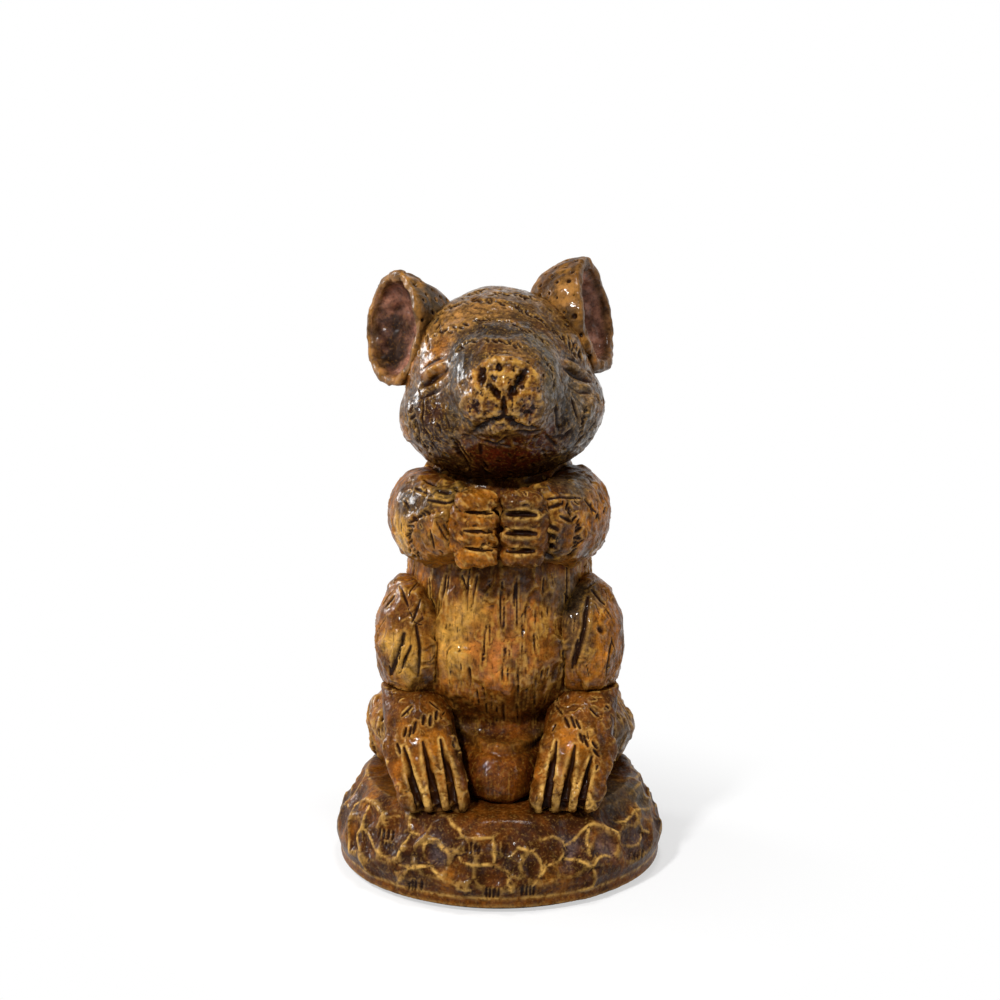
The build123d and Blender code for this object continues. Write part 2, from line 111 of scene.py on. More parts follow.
class Casting:
    """A finely meshed copy of a CAD node, carved and painted in millimetres."""

    def __init__(self, node, blend_voxel, blend_rounds, voxel, swell):
        self.node = node
        self.object = bpy.data.objects.new(f"{node}_casting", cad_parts[node].data.copy())
        bpy.context.scene.collection.objects.link(self.object)
        if blend_rounds:
            self.remesh(blend_voxel, blend_rounds)
        self.remesh(voxel, REMESH_SMOOTHING)
        mesh = self.object.data
        self.points = np.empty((len(mesh.vertices), 3))
        mesh.vertices.foreach_get("co", self.points.reshape(-1))
        self.points /= MM
        self.edges = np.empty((len(mesh.edges), 2), int)
        mesh.edges.foreach_get("vertices", self.edges.reshape(-1))
        self.corners = np.empty(len(mesh.loops), int)
        mesh.loops.foreach_get("vertex_index", self.corners)
        self.starts = np.empty(len(mesh.polygons), int)
        mesh.polygons.foreach_get("loop_start", self.starts)
        self.neighbours = np.bincount(self.edges.ravel(), minlength=len(self.points))
        self.refresh()
        self.push(swell)
        self.tree = self.make_tree()
        self.cut = np.zeros(len(self.points))
        self.gold = np.zeros(len(self.points))
        self.paint = np.zeros((len(self.points), 3))
        self.shelter = self.find_shelter()

    def remesh(self, voxel, rounds):
        """Replaces the mesh by an even one with faces about a voxel wide, and smooths it."""
        even = self.object.modifiers.new("even", "REMESH")
        even.mode = "VOXEL"
        even.voxel_size = voxel * MM
        even.adaptivity = 0
        smooth = self.object.modifiers.new("smooth", "SMOOTH")
        smooth.factor = 0.5
        smooth.iterations = rounds
        shaped = self.object.evaluated_get(bpy.context.evaluated_depsgraph_get())
        self.object.data = bpy.data.meshes.new_from_object(shaped)
        self.object.modifiers.clear()

    def make_tree(self):
        """Search tree of the surface as it is now."""
        sizes = np.diff(np.append(self.starts, len(self.corners)))
        faces = [face.tolist() for face in np.split(self.corners, np.cumsum(sizes)[:-1])]
        return BVHTree.FromPolygons(self.points.tolist(), faces)

    def refresh(self):
        """Works out the vertex normals from the quads' diagonals."""
        a, b, c, d = (self.points[self.corners[self.starts + k]] for k in range(4))
        face_normals = np.cross(c - a, d - b)
        normals = np.zeros_like(self.points)
        for k in range(4):
            index = self.corners[self.starts + k]
            for axis in range(3):
                normals[:, axis] += np.bincount(index, face_normals[:, axis], len(self.points))
        self.normals = normals / (np.linalg.norm(normals, axis=1, keepdims=True) + 1e-12)

    def average(self, values, rounds=1):
        """Values averaged with their neighbours' a number of times."""
        shape = values.shape
        values = values.reshape(len(self.points), -1)
        first, second = self.edges[:, 0], self.edges[:, 1]
        count = len(self.points)
        for _ in range(rounds):
            total = values.copy()
            for column in range(values.shape[1]):
                total[:, column] += np.bincount(first, values[second, column], count)
                total[:, column] += np.bincount(second, values[first, column], count)
            values = total / (self.neighbours + 1)[:, None]
        return values.reshape(shape)

    def push(self, heights):
        """Moves the surface out along its normals."""
        self.points += self.normals * np.reshape(heights, (-1, 1))
        self.refresh()

    def smooth(self, rounds, mask):
        """Smooths the surface where the mask is set."""
        self.points += (self.average(self.points, rounds) - self.points) * mask[:, None]
        self.refresh()

    def tint(self, tone, share):
        """Mixes a colour into the paint."""
        self.paint += (tone - self.paint) * share[:, None]

    def gild(self, share):
        """Brushes ochre on, where there is less of it."""
        self.gold = np.maximum(self.gold, share)

    def wash_and_shade(self, share):
        """Lays dark wash in cuts and hollows, and painted shade beside edges, where there is less of it."""
        self.cut = np.maximum(self.cut, share)

    def seen(self, u, v):
        """Point of the surface at a pixel of the photograph, or None."""
        return self.tree.ray_cast(CAMERA_PLACE, sight(u, v))[0]

    def curvature(self, rounds):
        """Positive on ridges and negative in hollows, over a width set by the rounds."""
        return ((self.points - self.average(self.points, rounds)) * self.normals).sum(1)

    def find_shelter(self):
        """How much each point is closed in by the whole figurine round it, from 0 to 1."""
        rng = np.random.default_rng(1)
        spots = rng.choice(len(self.points), min(SHELTER_SPOTS, len(self.points)), replace=False)
        tree = KDTree(len(spots))
        values = np.empty(len(spots))
        for number, spot in enumerate(spots):
            normal = Vector(self.normals[spot])
            start = Vector(self.points[spot]) + normal * SHELTER_LIFT
            hits = 0.0
            for way in rng.normal(size=(SHELTER_RAYS, 3)):
                ray = (normal * 1.02 + Vector(way).normalized()).normalized()
                distance = FIGURINE.ray_cast(start, ray, SHELTER_REACH)[3]
                hits += 0.0 if distance is None else 1 - distance / SHELTER_REACH
            values[number] = hits / SHELTER_RAYS
            tree.insert(self.points[spot], number)
        tree.balance()
        nearest = np.array([values[tree.find(point)[1]] for point in self.points])
        return self.average(nearest, SHELTER_BLUR)

    def finish(self, material):
        """Writes shape and paint to the object and sets it in the node's place."""
        mesh = self.object.data
        mesh.vertices.foreach_set("co", (self.points * MM).ravel())
        painted = mesh.attributes.new("paint", "FLOAT_COLOR", "POINT")
        rgba = np.ones((len(self.points), 4))
        rgba[:, :3] = np.clip(self.paint, 0, 1)
        painted.data.foreach_set("color", rgba.ravel())
        dull = smoothstep(*DULL_SHELTER, self.shelter)
        for name, values in (("cut", self.cut), ("gold", self.gold), ("dull", dull)):
            layer = mesh.attributes.new(name, "FLOAT", "POINT")
            layer.data.foreach_set("value", np.clip(values, 0, 1))
        mesh.polygons.foreach_set("use_smooth", np.ones(len(mesh.polygons), bool))
        mesh.materials.clear()
        mesh.materials.append(material)
        mesh.update()
        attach(self.object, "root")
        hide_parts(self.node)


def figurine_tree():
    """Search tree of every CAD node together, in millimetres."""
    vertices, faces = [], []
    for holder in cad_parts.values():
        mesh = holder.data
        places = np.empty((len(mesh.vertices), 3))
        mesh.vertices.foreach_get("co", places.reshape(-1))
        first = len(vertices)
        vertices.extend((places / MM).tolist())
        faces.extend([[first + corner for corner in face.vertices] for face in mesh.polygons])
    return BVHTree.FromPolygons(vertices, faces)


def smoothstep(low, high, values):
    """0 below low, 1 above high, and a soft step between."""
    share = np.clip((values - low) / (high - low), 0, 1)
    return share * share * (3 - 2 * share)


def lumps(points, size, seed, octaves=3):
    """Smooth noise between about -1 and 1 with lumps about size across."""
    rng = np.random.default_rng(seed)
    total, weight = np.zeros(len(points)), 1.0
    for _ in range(octaves):
        for _ in range(6):
            wave = rng.normal(size=3)
            wave *= rng.uniform(0.7, 1.4) * math.pi * 2 / (size * np.linalg.norm(wave))
            total += weight * np.sin(points @ wave + rng.uniform(0, 6.28)) / 3
        size, weight = size * 0.5, weight * 0.5
    return total


def warped(points, size, amount, seed):
    """The points shifted about by smooth noise."""
    shift = np.stack([lumps(points, size, seed + axis, 2) for axis in range(3)], 1)
    return points + amount * shift


def scatter(points, spacing, seed, mask=None):
    """Numbers of points chosen at random, no two closer than spacing."""
    rng = np.random.default_rng(seed)
    order = rng.permutation(len(points) if mask is None else np.flatnonzero(mask))
    cells, chosen = {}, []
    for index in order[:SCATTER_TRIES]:
        point = points[index]
        cell = tuple((point // spacing).astype(int))
        near = [
            other
            for x in (-1, 0, 1) for y in (-1, 0, 1) for z in (-1, 0, 1)
            for other in cells.get((cell[0] + x, cell[1] + y, cell[2] + z), ())
        ]
        if any(((points[other] - point) ** 2).sum() < spacing**2 for other in near):
            continue
        cells.setdefault(cell, []).append(index)
        chosen.append(index)
    return np.array(chosen, int)


def nearest_two(points, seeds):
    """Nearest seed of each point, and the distances to it and to the second nearest."""
    tree = KDTree(len(seeds))
    for number, seed in enumerate(seeds):
        tree.insert(seed, number)
    tree.balance()
    found = [tree.find_n(point, 2) for point in points]
    index = np.array([pair[0][1] for pair in found])
    near = np.array([pair[0][2] for pair in found])
    next_near = np.array([pair[1][2] for pair in found])
    return index, near, next_near


def knife_facets(piece, spacing, strength, seed, stretch=(1, 1, 1), mask=1.0, spread=0.28):
    """Flattens the surface into cut facets and gives each facet its own slightly different tone."""
    laid = warped(piece.points, 2 * spacing, 0.25 * spacing, seed) * stretch
    chosen = scatter(laid, spacing, seed)
    seeds, seed_normals = piece.points[chosen], piece.average(piece.normals, 12)[chosen]
    seed_normals /= np.linalg.norm(seed_normals, axis=1, keepdims=True)
    index = nearest_two(laid, laid[chosen])[0]
    lift = ((seeds[index] - piece.points) * seed_normals[index]).sum(1)
    count = np.bincount(index, minlength=len(chosen)) + 1e-9
    lift -= (np.bincount(index, lift, len(chosen)) / count)[index]
    piece.push(piece.average(np.clip(lift, -0.8, 0.8) * strength * mask, 3))
    tones = np.random.default_rng(seed).uniform(1 - spread, 1 + spread, len(chosen))
    piece.paint *= piece.average(tones[index], 3)[:, None]


def creases(piece, size, height, seed, gilt=0.8, mask=1.0, stretch=(1, 1, 1)):
    """Broken raised edges between knife strokes, gilt along the top, with a painted shadow on one side."""
    laid = warped(piece.points, 1.5 * size, 0.25 * size, seed) * stretch
    field = lumps(laid, size, seed + 3, 1)
    broken = smoothstep(0.0, 0.7, lumps(piece.points, 2 * size, seed + 6, 2)) * mask
    edge = np.exp(-((field / 0.2) ** 2)) * broken
    foot = np.exp(-(((field - 0.5) / 0.25) ** 2)) * broken
    piece.push(height * (edge - 0.8 * foot))
    piece.gild(gilt * edge)
    # Painted shadow: a dark band on one side of each raised edge, in the same dark layer as the wash
    piece.wash_and_shade(0.6 * gilt * foot)


class Strokes:
    """Cuts gathered for one piece: points along each cut with their half-widths and depths."""

    def __init__(self, piece):
        self.piece = piece
        self.places, self.widths, self.depths = [], [], []

    def add_points(self, path, width, depth, end_width=None, open_end=False):
        """One cut through the given points, tapered at both ends unless its far end is open."""
        end_width = width if end_width is None else end_width
        for number, point in enumerate(path):
            share = (number + 0.5) / len(path)
            inward = share if open_end else min(share, 1 - share)
            taper = min(1.0, 3.2 * inward + 0.25)
            self.places.append(tuple(point))
            self.widths.append((width + (end_width - width) * share) * (0.6 + 0.4 * taper))
            self.depths.append(depth * taper)

    def drawn(self, pixels, width, depth, end_width=None, open_end=False, step=1.2):
        """One cut along a line of the photograph's pixels."""
        path = []
        for (u0, v0), (u1, v1) in zip(pixels, pixels[1:]):
            pieces = max(1, int(math.hypot(u1 - u0, v1 - v0) / step))
            for number in range(pieces):
                share = number / pieces
                path.append(self.piece.seen(u0 + (u1 - u0) * share, v0 + (v1 - v0) * share))
        path.append(self.piece.seen(*pixels[-1]))
        self.add_points([point for point in path if point], width, depth, end_width, open_end)

    def dashes(self, pixels, pitch, length, width, depth, rng, slant):
        """A row of short cuts along a line of the photograph's pixels."""
        corners = np.array(pixels, float)
        lengths = np.linalg.norm(np.diff(corners, axis=0), axis=1)
        along = np.append(0, np.cumsum(lengths))
        for distance in np.arange(pitch * 0.5, along[-1], pitch):
            if rng.random() < 0.12:
                continue
            at = np.array([np.interp(distance, along, corners[:, k]) for k in (0, 1)])
            ahead = np.array([np.interp(distance + 1, along, corners[:, k]) for k in (0, 1)])
            way = math.atan2(*(ahead - at)[::-1]) + slant + rng.normal(0, 0.3)
            half = 0.5 * length * rng.uniform(0.5, 1.3)
            at += rng.normal(0, 0.8, 2)
            reach = np.array([math.cos(way), math.sin(way)]) * half
            self.drawn([at - reach, at + reach], width * rng.uniform(0.7, 1.3), depth)

    def roaming(self, starts, way, length, width, depth, rng, sway=0.25):
        """Cuts that follow the surface from random starts along a direction."""
        tree = self.piece.tree
        for start in starts:
            point, normal = tree.find_nearest(Vector(self.piece.points[start]))[:2]
            heading = Vector(way) + Vector(rng.normal(0, sway, 3))
            path = []
            for _ in range(max(3, int(length * rng.uniform(0.4, 1.6) / 0.25))):
                path.append(point)
                heading = (heading - normal * heading.dot(normal)).normalized()
                point, normal = tree.find_nearest(point + heading * 0.25)[:2]
            self.add_points(path, width * rng.uniform(0.6, 1.4), depth * rng.uniform(0.5, 1.2))

    def carve(self, wash_and_shade=1.0, lip=0.0, gilt=0.0, steepness=2):
        """Presses the cuts in and stains them, with a raised lip beside them and gilt on it."""
        tree = KDTree(len(self.places))
        for number, place in enumerate(self.places):
            tree.insert(place, number)
        tree.balance()
        found = [tree.find(point)[1:] for point in self.piece.points]
        index = np.array([number for number, _ in found])
        distance = np.array([gap for _, gap in found])
        width, depth = np.array(self.widths)[index], np.array(self.depths)[index]
        inside = np.exp(-((distance / width) ** steepness))
        rim = np.exp(-(((distance - 1.9 * width) / (0.8 * width)) ** 2))
        self.piece.push(depth * (lip * rim - inside))
        self.piece.wash_and_shade(wash_and_shade * inside)
        self.piece.gild(gilt * rim)
        return inside


def place_tones():
    """The dabs of colour, each set on the figurine at its pixel of the photograph."""
    placed = []
    for tone, strength, radius, pixels in TONES:
        for u, v in pixels:
            place = FIGURINE.ray_cast(CAMERA_PLACE, sight(u, v))[0]
            if place is not None:
                placed.append((np.array(place), radius, tone, strength))
    return placed


def paint_over(piece, ground, seed):
    """Lays an uneven ground colour on a piece, and over it the dabs that reach it."""
    piece.laid = warped(piece.points, 4.0, 1.1, 500)
    cloud = lumps(piece.points, 11, seed)
    piece.paint[:] = ground
    piece.tint(UMBER, 0.6 * smoothstep(0.15, 1.1, cloud))
    piece.tint(HONEY, 0.5 * smoothstep(0.2, 1.1, -cloud))
    for place, radius, tone, strength in DABS:
        distance = np.linalg.norm(piece.laid - place, axis=1)
        if distance.min() > radius * 1.2:
            continue
        piece.tint(tone, strength * (1 - smoothstep(radius * 0.35, radius * 1.15, distance)))
    piece.paint = piece.average(piece.paint, 4)


def raise_at(piece, u, v, radius, height):
    """Lifts (or sinks) a soft bump round the point seen at a pixel of the photograph."""
    distance = np.linalg.norm(piece.points - np.array(piece.seen(u, v)), axis=1)
    piece.push(height * np.exp(-((distance / radius) ** 2)))


def pits(piece, mask, spacing, radius, depth, seed, wash_and_shade=0.9):
    """Small punched holes, scattered where the mask is set."""
    chosen = scatter(piece.points, spacing, seed, mask)
    rng = np.random.default_rng(seed)
    sizes = radius * rng.uniform(0.55, 1.35, len(chosen))
    index, near, _ = nearest_two(piece.points, piece.points[chosen])
    inside = np.exp(-((near / sizes[index]) ** 4))
    piece.push(-depth * inside)
    piece.wash_and_shade(wash_and_shade * inside)


def ochre_wash_and_shade(piece, ridge_gain, hollow_gain, between_parts_shade_gain=1.0, fine=3, broad=14):
    """Dry-brushed ochre on ridges, dark wash in hollows from the carved shape, painted shade where parts close
    in.
    """
    small, large = piece.curvature(fine), piece.curvature(broad)
    small, large = small / (np.std(small) + 1e-9), large / (np.std(large) + 1e-9)
    shade_between_parts = smoothstep(0.12, 0.6, piece.shelter) * between_parts_shade_gain
    ridges = ridge_gain * smoothstep(0.5, 2.2, 0.6 * small + 0.5 * large) * (1 - 0.8 * shade_between_parts)
    piece.gold = np.maximum(piece.gold * (1 - 0.6 * shade_between_parts), ridges)
    hollows = hollow_gain * smoothstep(0.4, 2.4, -0.6 * small - 0.5 * large)
    piece.wash_and_shade(hollows)
    # Painted shade: the paint darkens, least in red, where neighbouring parts close round a point
    piece.paint *= (1 - shade_between_parts[:, None] * np.array([0.66, 0.78, 0.86]))


class Shading:
    """A node material, with short ways to add its nodes and join them."""

    def __init__(self, name):
        self.material = bpy.data.materials.new(name)
        self.material.use_nodes = True
        self.nodes, self.links = self.material.node_tree.nodes, self.material.node_tree.links
        self.shader = self.nodes["Principled BSDF"]

    def feed(self, socket, value):
        """Joins another node's output to a socket, or sets the socket to a number or a colour."""
        if isinstance(value, bpy.types.NodeSocket):
            self.links.new(value, socket)
        elif isinstance(value, np.ndarray):
            socket.default_value = (*value, 1)
        else:
            socket.default_value = value

    def surface(self, **inputs):
        """Feeds inputs of the surface; a name has _ for each space."""
        for name, value in inputs.items():
            self.feed(self.shader.inputs[name.replace("_", " ")], value)

    def add(self, kind, **inputs):
        """A new node with some of its inputs fed, named in the same way."""
        node = self.nodes.new(f"ShaderNode{kind}")
        for name, value in inputs.items():
            self.feed(node.inputs[name.replace("_", " ")], value)
        return node

    def attribute(self, layer, output="Fac"):
        """A layer that is painted on the mesh."""
        node = self.add("Attribute")
        node.attribute_name = layer
        return node.outputs[output]

    def place(self):
        """Place on the object."""
        return self.add("TexCoord").outputs["Object"]

    def noise(self, vector, scale, detail, roughness=0.6):
        """Noise with lumps about 1 / scale metres across."""
        node = self.add("TexNoise", Vector=vector, Scale=scale, Detail=detail, Roughness=roughness)
        return node.outputs["Fac"]

    def fitted(self, value, low, high, to_low=0.0, to_high=1.0):
        """A value moved from one range to another."""
        node = self.add("MapRange", Value=value, From_Min=low, From_Max=high, To_Min=to_low, To_Max=to_high)
        return node.outputs["Result"]

    def maths(self, operation, first, second):
        """Two values joined by an operation."""
        node = self.add("Math")
        node.operation = operation
        for socket, value in zip(node.inputs, (first, second)):
            self.feed(socket, value)
        return node.outputs[0]

    def mixed(self, share, first, second, mode="MIX"):
        """A share of the second colour over the first."""
        node = self.add("Mix")
        node.data_type = "RGBA"
        node.blend_type = mode
        self.feed(node.inputs["Factor"], share)
        colour_sockets = [socket for socket in node.inputs if socket.type == "RGBA"]
        for socket, value in zip(colour_sockets, (first, second)):
            self.feed(socket, value)
        return next(output for output in node.outputs if output.type == "RGBA")

    def bump(self, height, strength, distance):
        """Normal of a finely uneven surface; the distance is in metres."""
        return self.add("Bump", Height=height, Strength=strength, Distance=distance).outputs["Normal"]


def lacquered_resin(name, ochre, grain, rough, gloss, glint=0.16, streaks=0.0):
    """Painted casting resin: mottled paint, dark wash in cuts with painted shade, ochre on ridges and lacquer
    over it.
    """
    resin = Shading(name)
    fitted, maths, mixed = resin.fitted, resin.maths, resin.mixed
    place = resin.place()
    broad, mottle = resin.noise(place, 210, 4), resin.noise(place, 640, 5)
    speck, brush = resin.noise(place, 1900, 4), resin.noise(place, 900, 4)
    cut, gold = resin.attribute("cut"), resin.attribute("gold")
    shade = maths("MULTIPLY", fitted(broad, 0.3, 0.7, 0.5, 1.34), fitted(mottle, 0.32, 0.68, 0.46, 1.44))
    grey = resin.add("CombineColor", Red=shade, Green=shade, Blue=shade).outputs[0]
    base = mixed(1.0, resin.attribute("paint", "Color"), grey, "MULTIPLY")
    base = mixed(maths("MULTIPLY", fitted(speck, 0.46, 0.34), glint), base, ochre)
    base = mixed(maths("MULTIPLY", fitted(speck, 0.53, 0.66), grain), base, DARK_UMBER)
    if streaks:
        upright = resin.add("Mapping", Vector=place, Scale=(1.0, 1.0, 0.07)).outputs["Vector"]
        streak = resin.noise(upright, 1500, 3)
        base = mixed(maths("MULTIPLY", fitted(streak, 0.42, 0.3), 0.4 * streaks), base, ochre)
        base = mixed(maths("MULTIPLY", fitted(streak, 0.56, 0.66), streaks), base, DARK_UMBER)
    brushed = maths("MULTIPLY", gold, fitted(brush, 0.34, 0.56))
    base = mixed(brushed, base, ochre)
    # Dark layer: wash in the cuts and painted shade beside raised edges, turned towards near black
    wash_and_shade_share = fitted(maths("ADD", cut, maths("MULTIPLY", fitted(mottle, 0.3, 0.7), 0.3)), 0.36, 0.86)
    base = mixed(maths("MULTIPLY", wash_and_shade_share, 0.95), base, NEAR_BLACK)
    roughness = maths("ADD", fitted(mottle, 0.3, 0.7, *rough), maths("MULTIPLY", brushed, 0.1))
    worn = maths("MAXIMUM", resin.attribute("dull"), maths("MULTIPLY", wash_and_shade_share, 0.8))
    lacquer = maths("MULTIPLY", fitted(worn, 0.0, 1.0, gloss, 0.03), fitted(brush, 0.44, 0.58, 0.3, 2.0))
    relief = maths("ADD", speck, mottle)
    resin.surface(Base_Color=base, Roughness=roughness, Specular_IOR_Level=0.05)
    resin.surface(Coat_Weight=lacquer, Coat_Roughness=0.07)
    resin.surface(Normal=resin.bump(relief, 0.6, 0.00025), Coat_Normal=resin.bump(relief, 0.12, 0.00025))
    return resin.material


def scoop_cells(piece, mound, share, rng):
    """Scoops cells of uneven depth out of the mound, each with its own tone."""
    laid = warped(piece.points, size=7, amount=0.9, seed=40) * (1, 1, 1.25)
    chosen = scatter(laid, spacing=4.8, seed=11, mask=mound)
    index, near, next_near = nearest_two(laid, laid[chosen])
    sunk = rng.uniform(0.2, 1.3, len(chosen))[index] * share
    piece.push(-0.3 * sunk * smoothstep(0.0, 2.6, next_near - near))
    piece.paint *= piece.average(rng.uniform(0.72, 1.25, len(chosen))[index], 5)[:, None]


def hatch_cells(piece, behind, around, rng):
    """Cuts groups of four short strokes into cells: those drawn in front, and scattered ones behind."""
    strokes = Strokes(piece)
    for u, v in BASE_HATCHES:
        for place in range(-2, 2):
            foot = u + 4.2 * place + rng.normal(0, 0.6)
            top = v - 5 * rng.uniform(0.6, 1.2)
            strokes.drawn([(foot + 1, top), (foot, v + 5)], width=0.32, depth=0.5)
    for cell in scatter(piece.points, spacing=9.0, seed=21, mask=behind):
        feet = [piece.points[cell] + around[cell] * place for place in (-1.2, -0.4, 0.4, 1.2)]
        starts = [np.linalg.norm(piece.points - foot, axis=1).argmin() for foot in feet]
        strokes.roaming(starts, DOWN, length=1.8, width=0.3, depth=0.45, rng=rng, sway=0.1)
    strokes.carve()


def make_base(material):
    """Mound with scooped cells between ochre ridges, over a plain band."""
    piece = Casting("base", blend_voxel=0.8, blend_rounds=0, voxel=0.33, swell=0.0)
    x, y, z = piece.points.T.copy()
    radius = np.hypot(x, y)
    rng = np.random.default_rng(5)
    front = smoothstep(-4.0, -14.0, y)
    gutter = smoothstep(18.0, 14.0, np.abs(x - 4)) * smoothstep(12.0, 14.0, z) * (y < 0)
    outside = smoothstep(3.2, 4.4, z) * smoothstep(20.0, 23.0, radius) * (1 - gutter)
    paint_over(piece, UMBER, seed=5)
    piece.smooth(80, smoothstep(17.0, 12.0, np.abs(x - 3.5)) * smoothstep(10.5, 13.5, z) * (y < -16))
    scoop_cells(piece, radius > 19, outside * (1 - front), rng)
    crest = piece.curvature(12)
    crest = smoothstep(*np.quantile(crest[outside > 0.5], (0.8, 0.97)), crest) * outside
    ridges = Strokes(piece)
    for line in BASE_RIDGES:
        ridges.drawn(line, width=1.3, depth=-0.8)
    drawn = ridges.carve(wash_and_shade=0.0, steepness=1)
    behind = (radius > 26) & (y > -6) & (z > 7) & (z < 15)
    around = np.stack([-y, x, np.zeros(len(x))], 1) / np.maximum(radius, 0.001)[:, None]
    hatch_cells(piece, behind, around, rng)
    broken = np.clip(0.8 + 0.45 * lumps(piece.points, size=5, seed=8, octaves=2), 0, 1)
    piece.gold = np.maximum(smoothstep(0.7, 0.88, drawn), crest * (1 - front)) * broken
    rim = np.exp(-(((z - 3.2) / 0.35) ** 2)) * smoothstep(31.0, 31.8, radius)
    piece.gild(0.8 * rim * broken)
    piece.tint(BROWN, 1 - smoothstep(3.0, 3.6, z))
    ochre_wash_and_shade(piece, ridge_gain=0.35, hollow_gain=0.5, between_parts_shade_gain=0.8)
    piece.finish(material)


def make_body(material):
    """Torso with long vertical cuts over knife facets, and a lip under the belly."""
    piece = Casting("body", blend_voxel=0.8, blend_rounds=8, voxel=0.34, swell=0.25)
    x, y, z = piece.points.T.copy()
    rng = np.random.default_rng(17)
    paint_over(piece, TAN, seed=17)
    lap = smoothstep(39.0, 34.0, z) * (y < -2) * (np.abs(x) < 17)
    piece.smooth(60, lap)
    knife_facets(piece, spacing=4.6, strength=0.8, seed=4, stretch=(1.4, 1.4, 0.4), mask=1 - lap, spread=0.42)
    creases(piece, size=5.0, height=0.18, seed=140, mask=1 - 0.7 * lap, stretch=(1.2, 1.2, 0.3))
    piece.push(0.25 * lap * lumps(piece.points, size=7, seed=144))
    ridges = Strokes(piece)
    ridges.drawn(BELLY_LIP, width=1.0, depth=-0.7)
    raised = ridges.carve(wash_and_shade=0.0)
    shadow = Strokes(piece)
    shadow.drawn([(u, v + 8) for u, v in BELLY_LIP], width=0.8, depth=0.5)
    shadow.carve(wash_and_shade=0.3)
    strokes = Strokes(piece)
    for line, width, depth in BELLY_CUTS:
        strokes.drawn(line, BELLY_OPEN_WIDTH * width, BELLY_OPEN_DEPTH * depth)
    fur = scatter(piece.points, 3.8, 9, (z > 22) & (z < 80) & ((y > 2) | (np.abs(x) > 15)))
    strokes.roaming(fur, DOWN, length=8.0, width=0.3, depth=0.5, rng=rng, sway=0.12)
    front = scatter(piece.points, 4.2, 19, (y < -4) & (z > 36) & (z < 66) & (np.abs(x) < 16))
    strokes.roaming(front, DOWN, length=9.0, width=0.17, depth=0.3, rng=rng, sway=0.05)
    strokes.carve(lip=0.3, gilt=0.75)
    piece.gild(0.4 * raised)
    low = smoothstep(44.0, 36.0, z) * (y < -4)
    ochre_wash_and_shade(piece, ridge_gain=0.75 - 0.45 * low, hollow_gain=0.6)
    piece.gold *= 1 - 0.6 * low
    piece.finish(material)


def ear_frame(points, side):
    """The way an ear faces, and the points' offsets, heights and spreads from the middle of its mouth."""
    facing = EAR_FACINGS[side] / np.linalg.norm(EAR_FACINGS[side])
    offset = points - EAR_MOUTHS[side]
    height = offset @ facing
    spread = np.linalg.norm(offset - height[:, None] * facing, axis=1)
    return facing, offset, height, spread


def hollow_ears(piece):
    """Presses the skull back to the wall of each ear's bowl and paints it like the bowl."""
    for side in EAR_MOUTHS:
        _, offset, height, spread = ear_frame(piece.points, side)
        share = np.hypot(spread / EAR_BOWL_RADIUS, height / EAR_BOWL_DEPTH)
        within = (share < 1) & (height < 1)
        piece.points[within] = EAR_MOUTHS[side] + 1.01 * offset[within] / share[within, None]
        bowl = (1 - smoothstep(1.0, 1.08, share)) * (height < 1)
        piece.tint(EAR_RED, bowl)
        piece.cut *= 1 - bowl
        piece.gold *= 1 - bowl
    piece.refresh()


def cut_face(piece, muzzle, rng):
    """Cuts the eyes, nose, mouth and rows of hair into the head."""
    y, z = piece.base_points[:, 1], piece.base_points[:, 2]
    strokes = Strokes(piece)
    for line, width, depth in FACE_CUTS:
        strokes.drawn(line, width, depth)
    for line, pitch, length in FOREHEAD_ROWS:
        strokes.dashes(line, pitch, length, width=0.32, depth=0.5, rng=rng, slant=0.5)
    behind = scatter(piece.points, 2.6, 33, (y > -6) & (z > 82))
    strokes.roaming(behind, (1, 0, 0), length=1.0, width=0.3, depth=0.42, rng=rng, sway=0.35)
    low = scatter(piece.points, 2.8, 35, (z < 90) & (y > -20))
    strokes.roaming(low, (0.6, 0, -1), length=2.0, width=0.3, depth=0.4, rng=rng, sway=0.6)
    strokes.carve(lip=0.1, gilt=0.12)
    pits(piece, muzzle > 0.6, spacing=2.3, radius=0.34, depth=0.3, seed=37, wash_and_shade=0.75)


def make_head(material):
    """Round head with rows of small cuts, closed eyes and a pitted golden muzzle."""
    piece = Casting("head", blend_voxel=0.8, blend_rounds=14, voxel=0.26, swell=0.35)
    rng = np.random.default_rng(23)
    piece.base_points = piece.points.copy()
    paint_over(piece, DRAB, seed=23)
    piece.push(0.2 * lumps(piece.points, size=10, seed=6))
    knife_facets(piece, spacing=3.4, strength=0.35, seed=14)
    middle = np.array(piece.seen(*MUZZLE_MIDDLE))
    muzzle = 1 - smoothstep(6.6, 9.4, np.linalg.norm(piece.laid - middle, axis=1))
    lower = smoothstep(101.0, 95.0, piece.base_points[:, 2])
    creases(piece, size=3.6, height=0.15, seed=150, gilt=0.45, mask=(1 - muzzle) * lower)
    for u, v, radius, height in FACE_BUMPS:
        raise_at(piece, u, v, radius, height)
    ridges = Strokes(piece)
    for line, width, height in FACE_RIDGES:
        ridges.drawn(line, width, -height)
    raised = ridges.carve(wash_and_shade=0.0)
    crust = lumps(piece.points, size=1.6, seed=77, octaves=2)
    piece.push(0.16 * muzzle * np.clip(crust, -1, 0.6))
    cut_face(piece, muzzle, rng)
    speckled = smoothstep(0.2, 0.9, lumps(piece.points, size=1.5, seed=91, octaves=2)) * (1 - muzzle)
    piece.wash_and_shade(0.5 * speckled)
    creases(piece, size=2.6, height=0.16, seed=160, gilt=0.55, mask=muzzle)
    golden = smoothstep(0.35, 0.95, raised) * (1 - piece.cut)
    piece.tint(HONEY, 0.5 * golden * muzzle)
    piece.gild(0.95 * golden * np.maximum(muzzle, 0.45))
    ochre_wash_and_shade(piece, ridge_gain=0.45 + 0.25 * muzzle, hollow_gain=0.55 + 0.35 * muzzle)
    hollow_ears(piece)
    piece.finish(material)


